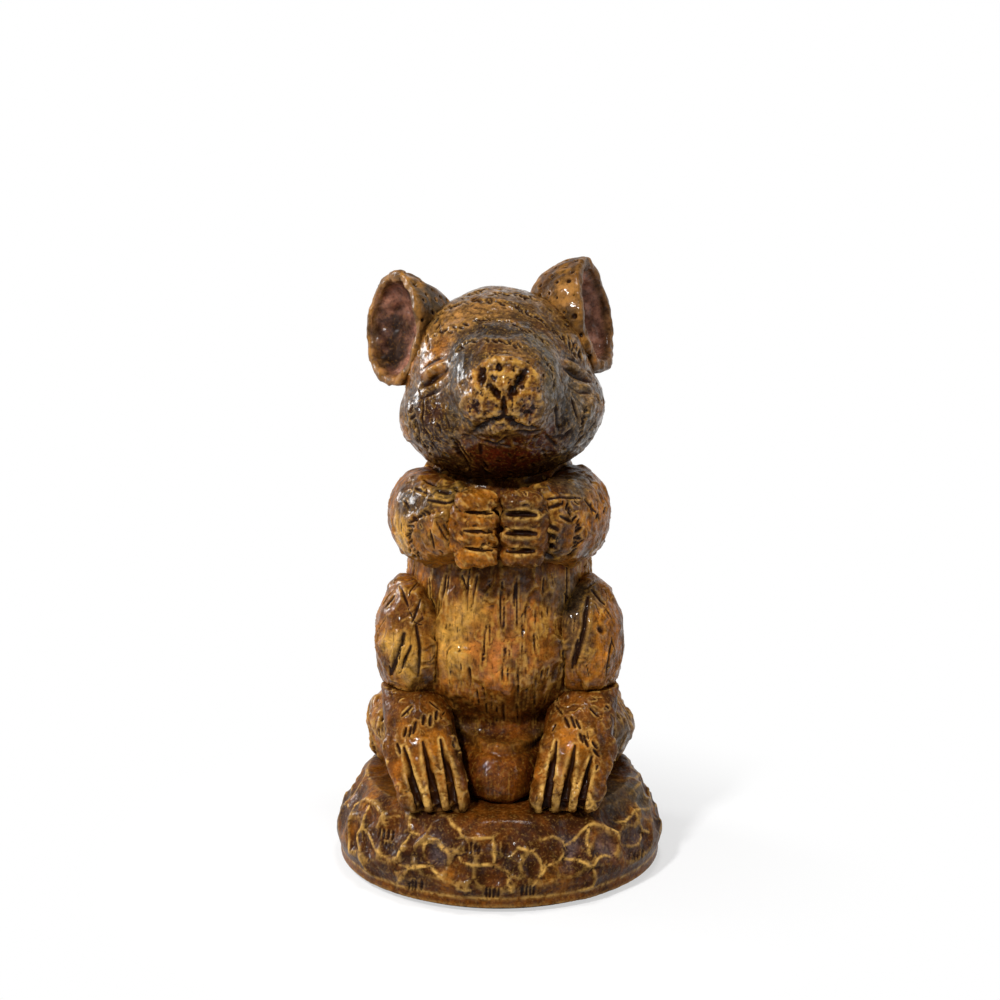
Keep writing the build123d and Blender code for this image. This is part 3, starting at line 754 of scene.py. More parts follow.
def make_ear(side, material):
    """Cupped ear: dark bowl, ochre pitted back."""
    piece = Casting(f"ear_{side}", blend_voxel=0.4, blend_rounds=3, voxel=0.22, swell=0.1)
    sign = 1 if side == "left" else -1
    facing, _, depth, spread = ear_frame(piece.points, side)
    edge = smoothstep(*EAR_EDGE, spread)
    inside = smoothstep(0.1, 0.5, piece.normals @ facing) * (1 - edge)
    outer = lumps(piece.points, size=6, seed=60 + sign, octaves=2)
    inner = lumps(piece.points, size=5, seed=63 + sign, octaves=2)
    piece.push(0.22 * outer - 0.3 * inside * inner)
    paint_over(piece, DRAB, seed=60 + sign)
    bowl = np.tile(EAR_RED, (len(piece.points), 1))
    for u, v, radius, tone, strength in EAR_INNER_DABS[side]:
        distance = np.linalg.norm(piece.laid - np.array(piece.seen(u, v)), axis=1)
        share = strength * (1 - smoothstep(radius * 0.3, radius * 1.15, distance))
        bowl += (tone - bowl) * share[:, None]
    piece.tint(bowl, inside)
    back = (inside < 0.05) & (depth < -1.0)
    knife_facets(piece, spacing=3.0, strength=0.25, seed=64 + sign, mask=1 - inside)
    pits(piece, back, spacing=2.2, radius=0.45, depth=0.5, seed=71 + sign)
    rim = np.exp(-((depth / 0.9) ** 2)) * edge * (0.6 + 0.5 * lumps(piece.points, size=5, seed=68, octaves=2))
    patches = 0.7 * back * smoothstep(-0.1, 0.8, lumps(piece.points, size=6, seed=66 + sign))
    piece.gold = np.maximum(0.6 * rim, 0.8 * patches)
    ochre_wash_and_shade(piece, ridge_gain=0.4, hollow_gain=0.5, between_parts_shade_gain=0.2)
    piece.cut *= 1 - 0.7 * inside
    piece.finish(material)


def open_gaps(piece, plan):
    """Presses the gaps between fingers or toes in, with smooth floors."""
    slots = Strokes(piece)
    for line, width, end_width, depth in plan["gaps"]:
        slots.drawn(line, width, depth, end_width, plan["open_gaps"])
    inside = slots.carve(plan["gap_stain"], lip=0.18, gilt=1.0, steepness=4)
    piece.smooth(8, smoothstep(0.2, 0.7, inside))


def make_limb(node, plan, material):
    """Arm, paw, thigh, foot or tail: facets, drawn cuts and gaps, and a few short fur cuts."""
    piece = Casting(node, 0.5, plan["blend"], plan["voxel"], plan["swell"])
    seed = plan["seed"]
    rng = np.random.default_rng(seed)
    paint_over(piece, plan["ground"], seed)
    knife_facets(piece, plan["facet"], plan["facet_strength"], seed)
    piece.push(plan["knobs"] * lumps(piece.points, plan["knob_size"], seed, 2))
    creases(piece, plan["crease"], plan["crease_height"], seed + 140)
    for u, v in plan["swellings"]:
        raise_at(piece, u, v, radius=3.2, height=0.34)
    piece.tree = piece.make_tree()
    if plan["gaps"]:
        open_gaps(piece, plan)
    strokes = Strokes(piece)
    for line, width, depth in plan["cuts"]:
        strokes.drawn(line, width, depth)
    for line, pitch, length, slant in plan["rows"]:
        strokes.dashes(line, pitch, length, 0.36, 0.55, rng, slant)
    way, length, spacing = plan["fur"]
    fur = scatter(piece.points, spacing, seed + 1)
    strokes.roaming(fur, way, length, width=0.2, depth=0.3, rng=rng, sway=0.35)
    strokes.carve(lip=0.25, gilt=0.5)
    worn = smoothstep(-0.2, 0.9, lumps(piece.points, size=5, seed=seed + 2))
    ochre_wash_and_shade(piece, plan["ridge"], hollow_gain=0.65)
    piece.gold *= 0.45 + 0.55 * worn
    piece.finish(material)


# Dabs of paint: tone, strength, radius in millimetres, and the photograph's pixels where they lie
TONES = [
    (KHAKI, 0.9, 5, [(446, 322), (458, 334), (470, 316), (492, 312), (436, 340)]),
    (DRAB, 0.85, 5, [(455, 297), (485, 294), (515, 296), (540, 304), (556, 318), (566, 334)]),
    # Painted shade: the dark arc above the muzzle, where the forehead steps down to the nose
    (SLATE, 0.9, 4.5, [(458, 350), (476, 335), (500, 330), (522, 334), (540, 347), (462, 366)]),
    # Partly painted sheen: grey-olive and grey-brown on the right cheek stand in for the sheen of a broad
    # light from the right, over the cheek's brown
    (GREY_OLIVE, 0.85, 5, [(546, 364), (553, 386), (545, 348)]),
    (GREY_BROWN, 0.8, 5.5, [(580, 402), (588, 420), (566, 394), (584, 440)]),
    (CHARCOAL, 0.75, 4, [(560, 425), (566, 442), (556, 412), (548, 456), (562, 464)]),
    (TAN, 0.85, 4, [(430, 365), (424, 378), (438, 354)]),
    (DARK_UMBER, 0.75, 6, [(420, 402), (430, 420), (444, 404), (418, 425)]),
    (DARK_OLIVE, 0.7, 3, [(455, 418), (450, 430), (462, 408)]),
    (DARK_UMBER, 0.65, 5, [(430, 445), (448, 462), (440, 432), (464, 446)]),
    (OXBLOOD, 0.95, 7, [(490, 457), (512, 452), (500, 470), (532, 450)]),
    (EARTH, 0.9, 7, [(503, 390), (505, 410)]),
    (OXBLOOD, 0.85, 2.2, [(529, 407), (476, 405)]),
    # Painted shade: dark brown in the neck gap under the chin
    (EARTH, 0.9, 5, [(500, 482), (472, 484), (530, 486)]),
    (DARK_UMBER, 0.85, 4, [(545, 492), (558, 494), (570, 496)]),
    (BROWN, 0.8, 4, [(430, 474), (442, 480)]),
    (GREY_BROWN, 0.8, 4.5, [(562, 480), (576, 484), (588, 492)]),
    (DARK_OLIVE, 0.85, 4, [(440, 494), (455, 494)]),
    (SLATE, 0.8, 4, [(412, 503), (424, 506), (406, 495)]),
    (OCHRE, 0.7, 4.5, [(402, 528), (404, 545)]),
    (OLIVE, 0.6, 3.5, [(426, 538), (594, 548)]),
    (HONEY, 0.7, 5, [(447, 536), (452, 556), (432, 556), (590, 530), (598, 512)]),
    (BROWN, 0.7, 4, [(566, 512), (556, 506)]),
    (DARK_UMBER, 0.9, 3.4, [(551, 530), (553, 544), (549, 556)]),
    (HONEY, 0.85, 3.4, [(478, 498), (478, 522), (476, 540), (482, 555)]),
    (AMBER, 0.8, 2.6, [(502, 520), (502, 545), (506, 492)]),
    (UMBER, 0.85, 3.6, [(524, 526), (525, 543), (522, 506)]),
    (BROWN, 0.9, 3.0, [(458, 502), (456, 524), (457, 545), (543, 500), (543, 520), (541, 548)]),
    # Painted shadow under the paws, across the top of the belly
    (DARK_UMBER, 0.8, 4.5, [(500, 573), (470, 572), (530, 574)]),
    (GREY_BROWN, 0.75, 4.5, [(558, 588), (568, 606), (574, 596)]),
    (UMBER, 0.6, 4.5, [(440, 588), (452, 582), (538, 590)]),
    (AMBER, 0.7, 6, [(500, 592), (478, 594), (522, 596)]),
    (COPPER, 0.8, 6, [(500, 640), (510, 622), (490, 660), (514, 664)]),
    (ROSE, 0.2, 2.6, [(513, 618), (494, 640), (488, 668), (507, 648)]),
    (OCHRE, 0.7, 4.5, [(452, 638), (455, 662), (470, 612)]),
    (BROWN, 0.7, 4.5, [(552, 640), (556, 664), (546, 690)]),
    (AMBER, 0.7, 5, [(480, 695), (515, 690), (500, 700)]),
    # Partly painted shade: darker red-brown where the belly turns under, over the belly's own colour
    (RUSSET, 0.9, 6, [(500, 722), (478, 714), (524, 716), (500, 704), (466, 706), (538, 704), (500, 738)]),
    (UMBER, 0.85, 3.5, [(500, 738), (468, 726), (534, 730)]),
    (RUSSET, 0.95, 7, [(500, 770), (500, 795), (480, 780), (525, 780)]),
    # Painted shade at the seams between the lap, the feet and the thighs
    (DARK_UMBER, 0.85, 3, [(462, 762), (545, 762), (458, 742), (548, 742)]),
    (OCHRE, 0.75, 4, [(400, 650), (409, 670), (392, 640)]),
    (BROWN, 0.75, 5, [(405, 602), (395, 614), (418, 592), (584, 688)]),
    (UMBER, 0.8, 3, [(432, 688), (420, 696), (566, 690)]),
    (HONEY, 0.75, 5, [(602, 642), (609, 622), (598, 664)]),
    # Partly painted sheen: grey-brown on the right thigh stands in for the sheen of the broad light from the
    # right
    (GREY_BROWN, 0.7, 4, [(578, 622), (580, 650), (592, 596)]),
    (BROWN, 0.85, 4, [(403, 706), (424, 706), (590, 702), (574, 706)]),
    (HONEY, 0.75, 4, [(418, 738), (437, 740), (560, 740), (580, 745)]),
    (AMBER, 0.7, 5, [(410, 772), (432, 775), (546, 778), (566, 778)]),
    (TAN, 0.8, 6, [(372, 742), (375, 768), (384, 788)]),
    (GREY_BROWN, 0.8, 3.5, [(424, 296), (434, 306), (418, 284)]),
    (KHAKI, 0.7, 3, [(404, 286), (566, 285), (560, 300)]),
    # Partly painted sheen: grey-brown on the base's right side stands in for the sheen of the broad light from
    # the right
    (GREY_BROWN, 0.8, 6, [(622, 738), (628, 756)]),
    (GREY_BROWN, 0.8, 5, [(630, 790), (612, 798), (642, 802)]),
    (EARTH, 0.85, 6, [(500, 815), (542, 816), (470, 820)]),
    (EARTH, 0.8, 6, [(395, 815), (375, 820)]),
    (DARK_UMBER, 0.75, 3.5, [(553, 830), (528, 840), (562, 832), (384, 842), (597, 862)]),
    (UMBER, 0.8, 5, [(480, 876), (575, 875), (420, 878), (370, 850), (548, 850), (525, 862), (385, 870),
      (610, 868)]),
    # Painted reflection: near-black and grey patches in the glossy cells stand in for what the lacquer
    # reflects, one of them for a highlight
    (CHARCOAL, 0.75, 2.6, [(411, 858), (443, 868), (477, 857), (504, 858)]),
    (REFLECTION_GREY, 0.7, 3, [(440, 850), (570, 852), (602, 846), (632, 841)]),
]

# Ridges and hatched cells on the front of the mound
BASE_RIDGES = [
    [(400, 816), (386, 818), (377, 804), (368, 800), (357, 806), (351, 820), (351, 840), (350, 852), (358,
      851)],
    [(358, 851), (362, 858), (368, 868), (378, 878)],
    [(370, 806), (366, 817), (364, 828), (360, 834), (360, 851)],
    [(364, 828), (370, 834), (375, 843), (378, 850), (383, 856), (392, 860), (399, 859), (402, 851), (412,
      833)],
    [(420, 835), (412, 833), (411, 822), (412, 813), (420, 811)], [(383, 814), (386, 826)],
    [(400, 865), (412, 867), (430, 867), (436, 872), (444, 879), (455, 885)],
    [(430, 865), (425, 856), (424, 844), (430, 840), (438, 841), (443, 848), (450, 853), (458, 851), (464,
      838)],
    [(442, 815), (448, 817), (453, 825), (461, 831), (464, 838), (480, 839), (492, 838), (497, 834)],
    [(459, 857), (463, 862), (473, 865), (485, 864), (494, 865), (502, 868), (508, 872), (510, 877), (521,
      877)],
    [(510, 877), (509, 886), (513, 893)], [(493, 839), (494, 852), (494, 865)],
    [(512, 856), (518, 848), (524, 850), (532, 851), (538, 858), (541, 865), (540, 875), (532, 887)],
    [(531, 850), (533, 843), (541, 840), (551, 837), (560, 841), (563, 846), (561, 856), (556, 863), (546,
      866)],
    [(541, 864), (546, 866), (540, 877)],
    [(563, 846), (572, 842), (580, 832), (588, 826), (593, 824), (601, 827), (609, 831), (617, 834), (620,
      845)],
    [(561, 858), (572, 860), (582, 862), (588, 866), (592, 866), (595, 860), (601, 856), (613, 857)],
    [(592, 866), (594, 878), (591, 885), (577, 890)], [(588, 826), (586, 842), (590, 856)],
    [(615, 822), (623, 823), (629, 817), (634, 810), (645, 811), (652, 805)],
    [(629, 795), (636, 787), (641, 781)],
    [(634, 810), (637, 822), (640, 830), (648, 832)], [(620, 845), (628, 847), (636, 845), (640, 832)],
    [(613, 857), (620, 846)], [(398, 882), (412, 867)], [(455, 885), (470, 890)],
]
BASE_HATCHES = [(474, 848), (502, 847), (388, 834), (381, 846), (416, 885), (494, 892), (530, 890), (637,
  853)]

# Lip under the belly, and the cuts above it: pixels, half-width and depth in millimetres before
# the paint fills them, and the shares of both that it leaves open
BELLY_OPEN_WIDTH, BELLY_OPEN_DEPTH = 0.68, 0.85
BELLY_LIP = [(446, 714), (462, 729), (484, 743), (505, 747), (531, 741), (542, 730), (548, 722)]
BELLY_CUTS = [
    ([(446, 576), (443, 596), (441, 618)], 0.5, 0.8), ([(435, 624), (433, 660), (435, 682)], 0.5, 0.7),
    ([(431, 600), (434, 607)], 0.4, 0.5), ([(462, 576), (467, 590)], 0.35, 0.6),
    ([(469, 574), (467, 595), (469, 623)], 0.42, 0.8), ([(477, 576), (473, 597), (470, 621)], 0.42, 0.8),
    ([(483, 601), (489, 606)], 0.5, 0.6), ([(486, 628), (484, 643), (483, 662)], 0.55, 0.8),
    ([(490, 624), (489, 647)], 0.3, 0.6), ([(502, 582), (500, 613), (502, 632)], 0.35, 0.7),
    ([(515, 584), (514, 606)], 0.35, 0.6), ([(538, 590), (534, 634), (535, 658)], 0.35, 0.7),
    ([(544, 578), (542, 607)], 0.35, 0.6), ([(558, 632), (563, 643), (562, 672), (560, 687)], 0.5, 0.7),
    ([(565, 594), (575, 607)], 0.4, 0.6), ([(506, 648), (502, 672), (504, 687)], 0.4, 0.8),
    ([(510, 650), (508, 680)], 0.28, 0.5), ([(518, 660), (518, 702)], 0.35, 0.7),
    ([(469, 667), (470, 688)], 0.5, 0.8), ([(459, 674), (462, 690)], 0.4, 0.6),
    ([(476, 688), (479, 704)], 0.35, 0.6), ([(484, 676), (485, 702)], 0.32, 0.6),
    ([(492, 680), (492, 712)], 0.25, 0.5), ([(502, 694), (504, 724)], 0.4, 0.7),
    ([(517, 704), (518, 724)], 0.35, 0.6), ([(534, 660), (536, 686), (534, 714)], 0.35, 0.7),
    ([(543, 664), (540, 690)], 0.3, 0.5), ([(452, 600), (450, 626)], 0.25, 0.4),
    ([(526, 606), (523, 640)], 0.25, 0.4), ([(460, 626), (459, 652)], 0.22, 0.4),
    ([(548, 604), (546, 632)], 0.3, 0.5), ([(572, 640), (566, 676)], 0.35, 0.5),
    ([(496, 708), (497, 728)], 0.28, 0.5), ([(510, 706), (511, 730)], 0.28, 0.5),
    ([(526, 668), (526, 700)], 0.25, 0.4), ([(448, 650), (450, 676)], 0.25, 0.4),
]

# Pixel at the muzzle's middle, and soft bumps of the face: pixel, radius and height
MUZZLE_MIDDLE = (504, 393)
FACE_BUMPS = [
    (504, 364, 2.6, 0.6), (490, 366, 1.6, 0.35), (518, 366, 1.7, 0.35), (506, 378, 1.8, 0.4),
    (475, 406, 2.8, 0.75), (528, 406, 3.0, 0.8), (533, 378, 1.4, 0.5), (496, 432, 1.9, 0.6),
    (510, 427, 1.3, 0.4), (476, 405, 1.3, -1.1), (529, 407, 1.9, -0.7), (499, 368, 0.8, -0.45),
    (519, 367, 0.9, -0.35), (512, 379, 0.8, -0.4), (440, 378, 3.0, -0.5), (576, 376, 3.0, -0.5),
]
# Raised lines of the face: pixels, half-width and height
FACE_RIDGES = [
    ([(425, 374), (434, 368), (446, 362)], 0.6, 0.6), ([(424, 392), (437, 385), (446, 377)], 0.5, 0.6),
    ([(565, 361), (579, 368), (590, 375)], 0.6, 0.6), ([(571, 380), (581, 386), (590, 387)], 0.5, 0.6),
    ([(486, 364), (497, 360), (510, 361), (522, 366)], 1.1, 0.3),
    ([(492, 373), (505, 373), (516, 374)], 1.0, 0.25),
    ([(500, 381), (508, 385)], 1.0, 0.25),
    ([(475, 394), (483, 398), (486, 406), (482, 414), (474, 417), (466, 413), (463, 405), (467, 397),
      (475, 394)], 0.66, 0.6),
    ([(528, 392), (537, 396), (542, 406), (538, 416), (528, 421), (518, 417), (513, 407), (518, 396),
      (528, 392)], 0.7, 0.6),
    ([(497, 403), (496, 411), (488, 415)], 0.7, 0.3), ([(510, 402), (511, 411), (516, 416)], 0.6, 0.3),
    ([(484, 434), (492, 431), (500, 429), (508, 425), (514, 429)], 0.55, 0.5),
    ([(490, 439), (497, 441), (503, 435)], 0.5, 0.35),
    ([(530, 369), (536, 377), (538, 387)], 0.8, 0.35), ([(473, 371), (475, 383), (480, 390)], 0.7, 0.3),
    ([(484, 392), (491, 399)], 0.7, 0.25), ([(458, 412), (462, 424), (468, 432)], 0.5, 0.25),
]
# Cut lines of the face: pixels, half-width and depth
FACE_CUTS = [
    ([(424, 385), (433, 379), (446, 370)], 0.55, 1.0), ([(564, 367), (576, 375), (590, 381)], 0.55, 1.0),
    ([(422, 398), (437, 391), (448, 382)], 0.35, 0.4), ([(568, 384), (580, 392), (590, 393)], 0.35, 0.4),
    ([(424, 368), (434, 361), (445, 356)], 0.3, 0.3), ([(568, 358), (580, 363)], 0.3, 0.3),
    ([(481, 370), (482, 382)], 0.75, 1.0), ([(488, 384), (493, 390), (499, 397)], 0.6, 1.2),
    ([(526, 370), (519, 382), (510, 395)], 0.85, 1.2), ([(504, 397), (504, 408), (504, 417)], 0.5, 1.0),
    ([(503, 417), (492, 419), (484, 425), (474, 431)], 0.65, 1.0),
    ([(506, 417), (514, 422), (524, 427), (537, 427)], 0.65, 1.0),
    ([(486, 441), (497, 444), (507, 438)], 0.5, 0.5), ([(518, 431), (530, 433), (540, 429)], 0.6, 0.5),
    ([(475, 403), (477, 407)], 1.0, 0.4), ([(524, 402), (526, 405)], 0.5, 0.4),
    ([(532, 404), (533, 408)], 0.5, 0.4),
    ([(526, 411), (530, 412)], 0.5, 0.4), ([(499, 367), (500, 370)], 0.6, 0.5),
    ([(492, 377), (494, 379)], 0.4, 0.4), ([(504, 355), (507, 354)], 0.35, 0.4),
    ([(452, 437), (461, 454), (472, 472)], 0.35, 0.6), ([(457, 440), (464, 452), (474, 466)], 0.25, 0.4),
    ([(438, 394), (444, 412), (451, 431)], 0.22, 0.3), ([(430, 440), (440, 456)], 0.25, 0.35),
    ([(424, 400), (422, 418), (424, 434)], 0.22, 0.3), ([(556, 405), (558, 430)], 0.4, 0.4),
    ([(572, 398), (578, 418)], 0.35, 0.4), ([(560, 440), (572, 428)], 0.35, 0.35),
    ([(546, 436), (556, 446)], 0.35, 0.3),
    ([(416, 420), (420, 444)], 0.3, 0.35), ([(480, 466), (488, 474)], 0.3, 0.3),
]
# Rows of small cuts on the head: pixels, pitch and length in pixels
FOREHEAD_ROWS = [
    ([(459, 305), (470, 302), (486, 301), (510, 304), (530, 314), (550, 326), (564, 339)], 4.6, 4.6),
    ([(459, 329), (472, 322), (490, 319), (512, 322), (530, 333), (550, 346)], 5.0, 3.8),
    ([(456, 351), (466, 345), (480, 338)], 4.6, 3.8),
    ([(486, 341), (497, 341), (509, 342), (520, 347)], 5.4, 3.6),
    ([(462, 296), (476, 293), (500, 293), (520, 295), (540, 301)], 5.2, 3.4),
    ([(434, 336), (446, 331), (459, 327)], 5.0, 3.6), ([(436, 316), (446, 309), (458, 305)], 4.6, 4.0),
    ([(416, 322), (417, 340), (420, 358)], 4.2, 4.6), ([(424, 318), (426, 335), (430, 350)], 4.6, 4.4),
    ([(434, 315), (440, 330)], 4.4, 4.2), ([(556, 329), (568, 344), (580, 361)], 4.4, 4.4),
    ([(568, 336), (578, 350), (586, 364)], 4.6, 4.4), ([(411, 405), (414, 425), (420, 445)], 5.0, 4.2),
    ([(586, 400), (584, 420), (576, 445)], 5.0, 4.2), ([(420, 440), (436, 462), (452, 474)], 5.0, 4.2),
    ([(544, 356), (552, 372), (556, 392)], 6.0, 3.0),
]
# Ears: middles of the mouths, the ways they face, and the bowls' sizes
EAR_BOWL_RADIUS, EAR_BOWL_DEPTH = 9.3, 6.5
EAR_MOUTHS = {"left": np.array([18.93, 6.09, 108.4]), "right": np.array([-20.9, 3.31, 105.95])}
EAR_FACINGS = {"left": np.array([0.94, -0.263, 0.219]), "right": np.array([-0.867, -0.485, 0.114])}
EAR_EDGE = (8.8, 9.6)
# Dabs in the ears' bowls: pixel, radius in millimetres, tone and strength
EAR_INNER_DABS = {
    "left": [(588, 350, 6, EAR_GREY, 0.95), (584, 320, 4, EAR_GREY, 0.7), (602, 300, 5, EAR_RED, 0.6)],
    "right": [(393, 345, 5, CHARCOAL, 0.9), (397, 322, 4, CHARCOAL, 0.85), (390, 362, 4, CHARCOAL, 0.9)],
}
# Cuts of the limbs: pixels, half-width and depth in millimetres
ARM_CUTS = {
    "left": [
        ([(546, 524), (558, 530)], 0.5, 0.7), ([(544, 533), (557, 539)], 0.5, 0.7),
        ([(544, 543), (556, 548)], 0.55, 0.7),
        ([(541, 553), (552, 558)], 0.6, 0.7), ([(585, 500), (596, 512)], 0.35, 0.4),
        ([(548, 508), (562, 504)], 0.35, 0.4),
        ([(544, 500), (560, 497), (580, 498)], 0.3, 0.4), ([(560, 516), (572, 522)], 0.3, 0.4),
    ],
    "right": [
        ([(438, 490), (450, 493)], 0.5, 0.6), ([(455, 488), (459, 492)], 0.45, 0.5),
        ([(424, 480), (436, 486)], 0.35, 0.4),
        ([(404, 500), (410, 510)], 0.3, 0.35), ([(436, 522), (444, 536), (456, 550)], 0.24, 0.35),
        ([(446, 520), (456, 536), (464, 552)], 0.24, 0.35), ([(415, 488), (428, 494)], 0.28, 0.35),
        ([(428, 500), (446, 503), (458, 500)], 0.32, 0.4), ([(430, 530), (434, 548)], 0.25, 0.3),
    ],
}
# Wrists, which swell up to the paws
WRISTS = {"left": [(549, 508), (550, 528), (548, 548)], "right": [(447, 508), (446, 528), (448, 548)]}
# Rows of dashes on the arms: pixels, pitch and length in pixels, slant to the row
ARM_ROWS = {
    "left": [
        ([(563, 502), (578, 522), (580, 532), (575, 545), (570, 558)], 4.4, 5.0, 0.9),
        ([(590, 505), (600, 520)], 5.0, 4.0, 0.7),
    ],
    "right": [
        ([(428, 510), (412, 522), (409, 532), (410, 545), (418, 558)], 4.4, 5.0, 0.9),
        ([(414, 500), (402, 512)], 5.0, 4.0, 0.7),
    ],
}
THIGH_CUTS = {
    "left": [
        ([(588, 597), (584, 630), (575, 664)], 0.5, 0.6), ([(600, 629), (602, 631)], 0.6, 0.6),
        ([(578, 640), (572, 668)], 0.35, 0.5), ([(612, 640), (606, 675)], 0.3, 0.35),
        ([(592, 590), (604, 604)], 0.35, 0.4),
        ([(568, 698), (590, 693), (613, 685)], 0.6, 0.6),
    ],
    "right": [
        ([(404, 634), (397, 655), (391, 674)], 0.6, 0.8), ([(411, 646), (402, 668)], 0.35, 0.5),
        ([(420, 600), (412, 622)], 0.35, 0.4), ([(394, 596), (386, 606)], 0.4, 0.4),
        ([(416, 624), (420, 650), (418, 676)], 0.35, 0.4),
        ([(400, 586), (408, 606)], 0.3, 0.4), ([(390, 695), (412, 697), (436, 698)], 0.6, 0.6),
    ],
}
FOOT_CUTS = {
    "left": [
        ([(565, 718), (569, 727)], 0.32, 0.45), ([(571, 717), (575, 727)], 0.32, 0.45),
        ([(576, 720), (580, 728)], 0.3, 0.45),
        ([(580, 734), (583, 742)], 0.3, 0.45), ([(584, 736), (588, 746)], 0.36, 0.5),
        ([(593, 742), (597, 748)], 0.34, 0.5),
        ([(594, 750), (599, 756)], 0.32, 0.45), ([(590, 708), (598, 716)], 0.28, 0.4),
        ([(556, 706), (562, 714)], 0.26, 0.35),
    ],
    "right": [
        ([(406, 728), (404, 736)], 0.32, 0.45), ([(411, 727), (409, 736)], 0.32, 0.45),
        ([(416, 722), (413, 733)], 0.34, 0.5),
        ([(424, 716), (423, 724)], 0.3, 0.45), ([(431, 716), (430, 725)], 0.34, 0.5),
        ([(437, 711), (436, 719)], 0.32, 0.45),
        ([(397, 744), (400, 753)], 0.32, 0.45), ([(412, 706), (402, 716)], 0.24, 0.35),
        ([(430, 702), (440, 710)], 0.24, 0.35),
    ],
}
# Gaps between toes and fingers: pixels, half-widths at both ends and depth
TOE_GAPS = {
    "left": [
        ([(556, 742), (551, 775), (546, 810)], 0.42, 0.82, 1.3),
        ([(575, 746), (569, 778), (563, 810)], 0.42, 0.82, 1.3),
        ([(592, 757), (586, 782), (580, 810)], 0.4, 0.78, 1.2),
    ],
    "right": [
        ([(404, 748), (412, 780), (421, 810)], 0.42, 0.78, 1.3),
        ([(423, 742), (431, 776), (438, 810)], 0.42, 0.82, 1.3),
        ([(441, 740), (449, 774), (455, 810)], 0.42, 0.8, 1.3),
    ],
}
FINGER_GAPS = {
    "left": [
        ([(507, 514), (522, 514), (536, 515)], 0.5, 0.5, 0.9),
        ([(507, 533), (522, 533), (536, 534)], 0.5, 0.5, 0.9),
        ([(507, 551), (522, 551), (534, 551)], 0.45, 0.45, 0.8),
    ],
    "right": [
        ([(492, 513), (478, 513), (466, 512)], 0.38, 0.3, 0.7),
        ([(492, 532), (478, 532), (464, 531)], 0.4, 0.3, 0.7),
        ([(492, 550), (478, 550), (466, 548)], 0.36, 0.28, 0.6),
    ],
}
# Viewer's left paw is golden and knobbly, the other one dark and smooth
PAW_FINISH = {
    "left": dict(ridge=0.4, knobs=0.12, ground=BROWN),
    "right": dict(ridge=0.95, knobs=0.28, ground=HONEY),
}


def limb_plan(**changes):
    """The common way to finish a limb, with a limb's own changes."""
    plan = dict(
        blend=5, voxel=0.24, swell=0.3, facet=3.4, facet_strength=0.6, ground=TAN, ridge=0.75, seed=80,
        cuts=[], rows=[], swellings=[], gaps=[], open_gaps=False, gap_stain=1.0, fur=(DOWN, 1.6, 5.5),
        knobs=0.1, knob_size=4.0, crease=4.4, crease_height=0.16,
    )
    plan.update(changes)
    return plan


def make_limbs(side, seed):
    """Arm, paw, thigh and foot of one side."""
    arm = limb_plan(cuts=ARM_CUTS[side], rows=ARM_ROWS[side], swellings=WRISTS[side], seed=seed)
    paw = limb_plan(
        blend=0, voxel=0.17, swell=0.1, facet=1.6, facet_strength=0.4, gaps=FINGER_GAPS[side], seed=seed + 10,
        fur=((1, 0, 0), 0.8, 6.0), knob_size=2.6, crease=2.6, crease_height=0.12, **PAW_FINISH[side],
    )
    thigh = limb_plan(facet=4.6, cuts=THIGH_CUTS[side], fur=((0, 0.3, -1), 4.0, 5.0), seed=seed + 20)
    foot = limb_plan(
        blend=0, voxel=0.2, swell=0.15, facet=2.4, facet_strength=0.4, ground=BROWN, ridge=0.9, seed=seed + 30,
        cuts=FOOT_CUTS[side], gaps=TOE_GAPS[side], open_gaps=True, gap_stain=0.85,
        fur=((0, -0.3, -1), 1.2, 6.0), crease=3.4, crease_height=0.12,
    )
    make_limb(f"arm_{side}", arm, BODY_RESIN)
    make_limb(f"paw_{side}", paw, PAW_RESIN)
    make_limb(f"thigh_{side}", thigh, BODY_RESIN)
    make_limb(f"foot_{side}", foot, PAW_RESIN)


def make_felt():
    """Short dark nap for the pad under the base."""
    felt = Shading("felt")
    nap = felt.noise(felt.place(), 2400, 5, roughness=0.5)
    felt.surface(Base_Color=felt.mixed(felt.fitted(nap, 0.3, 0.7), FELT_DARK, FELT_PALE), Roughness=0.95)
    felt.surface(Sheen_Weight=0.3, Normal=felt.bump(nap, 0.6, 0.0002))
    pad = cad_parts["felt_pad"]
    pad.data.materials.clear()
    pad.data.materials.append(felt.material)


def floor_paper():
    """White paper: plain white to the eye far from the object, and shaded near it."""
    paper = Shading("floor_paper")
    rays = paper.add("LightPath").outputs
    mirrored = paper.maths("MAXIMUM", rays["Is Glossy Ray"], rays["Is Transmission Ray"])
    looked_at = paper.maths("MAXIMUM", rays["Is Camera Ray"], mirrored)
    paper.surface(Base_Color=paper.fitted(looked_at, 0.0, 1.0, 0.4, 0.95), Roughness=0.9)
    paper.surface(Specular_IOR_Level=0.0)
    distance = paper.add("VectorMath")
    distance.operation = "LENGTH"
    paper.feed(distance.inputs[0], paper.add("NewGeometry").outputs["Position"])
    away = paper.add("MapRange", Value=distance.outputs["Value"], From_Min=0.03, From_Max=0.085, To_Min=0.55)
    away.interpolation_type = "SMOOTHSTEP"
    mix = paper.add("MixShader", Fac=paper.maths("MULTIPLY", looked_at, away.outputs["Result"]))
    paper.feed(mix.inputs[1], paper.shader.outputs["BSDF"])
    paper.feed(mix.inputs[2], paper.add("Emission").outputs["Emission"])
    paper.feed(paper.nodes["Material Output"].inputs["Surface"], mix.outputs["Shader"])
    return paper.material


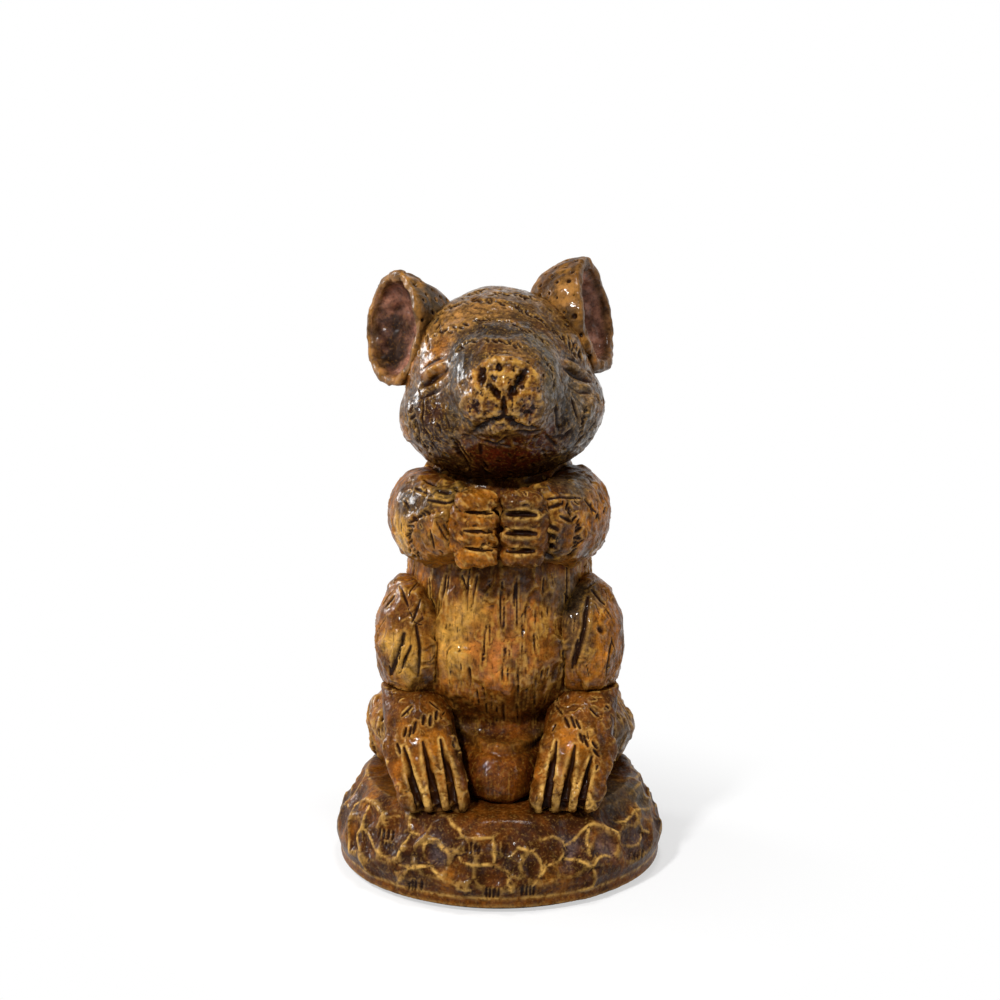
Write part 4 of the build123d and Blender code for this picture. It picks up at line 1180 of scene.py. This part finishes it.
def make_stage():
    """Floor that turns up into a backdrop."""
    depth, bend, height, half = 1.2, 0.6, 1.6, 3.0
    profile = [(-2.0, 0.0), (depth - bend, 0.0)]
    for step in range(1, 13):
        angle = math.radians(90 * step / 12)
        profile.append((depth - bend + bend * math.sin(angle), bend - bend * math.cos(angle)))
    profile.append((depth, height))
    vertices = [(x, y, z) for y, z in profile for x in (-half, half)]
    faces = [(2 * k, 2 * k + 1, 2 * k + 3, 2 * k + 2) for k in range(len(profile) - 1)]
    mesh = bpy.data.meshes.new("floor")
    mesh.from_pydata(vertices, [], faces)
    floor = bpy.data.objects.new("floor", mesh)
    bpy.context.scene.collection.objects.link(floor)
    mesh.materials.append(floor_paper())


def make_light():
    """Key lamp from the upper left, two at the left, a broad one at the right, one above, and a sky."""
    world = bpy.data.worlds.new("studio")
    bpy.context.scene.world = world
    world.use_nodes = True
    world.node_tree.nodes["Background"].inputs["Color"].default_value = (1, 1, 1, 1)
    world.node_tree.nodes["Background"].inputs["Strength"].default_value = 0.17
    lamps = (
        ("key", (-0.26, -0.44, 0.52), 0.055, 3.8),
        ("left", (-0.6, 0.27, 0.27), 0.2, 2.2),
        ("side", (-0.65, -0.02, 0.12), 0.05, 0.5),
        ("right", (0.6, -0.1, 0.3), 0.4, 1.0),
        ("top", (0.05, -0.1, 0.7), 0.12, 1.2),
    )
    for name, place, size, power in lamps:
        lamp = bpy.data.lights.new(name, "AREA")
        lamp.size = size
        lamp.energy = power
        holder = bpy.data.objects.new(name, lamp)
        holder.location = place
        holder.rotation_euler = (Vector((0, 0, 0.06)) - Vector(place)).to_track_quat("-Z", "Y").to_euler()
        bpy.context.scene.collection.objects.link(holder)


def make_camera():
    """The photograph's viewpoint."""
    lens = bpy.data.cameras.new("camera")
    lens.sensor_width = SENSOR_MM
    lens.lens = FOCAL_PIXELS / FRAME_PIXELS * SENSOR_MM
    lens.clip_start = 0.01
    camera = bpy.data.objects.new("camera", lens)
    camera.location = CAMERA_PLACE * MM
    camera.rotation_euler = (math.pi / 2 - CAMERA_PITCH, 0, 0)
    bpy.context.scene.collection.objects.link(camera)
    bpy.context.scene.camera = camera


FIGURINE = figurine_tree()
DABS = place_tones()
BODY_RESIN = lacquered_resin("body_resin", OCHRE, grain=0.5, rough=(0.32, 0.55), gloss=0.28, streaks=0.6)
PAW_RESIN = lacquered_resin("paw_resin", GOLD, grain=0.45, rough=(0.32, 0.52), gloss=0.15)
BASE_RESIN = lacquered_resin("base_resin", GOLD, grain=0.6, rough=(0.28, 0.52), gloss=0.1)
HEAD_RESIN = lacquered_resin("head_resin", OCHRE, grain=0.55, rough=(0.26, 0.48), gloss=0.42, glint=0.32)
EAR_RESIN = lacquered_resin("ear_resin", EAR_OCHRE, grain=0.5, rough=(0.24, 0.48), gloss=0.14)

make_base(BASE_RESIN)
make_body(BODY_RESIN)
make_head(HEAD_RESIN)
for seed, side in ((80, "left"), (81, "right")):
    make_ear(side, EAR_RESIN)
    make_limbs(side, seed)
TAIL = limb_plan(voxel=0.22, swell=0.2, facet=2.4, ground=AMBER, seed=120)
make_limb("tail", TAIL, BODY_RESIN)
make_felt()
make_stage()
make_light()
make_camera()
bpy.context.scene.view_settings.view_transform = "Standard"
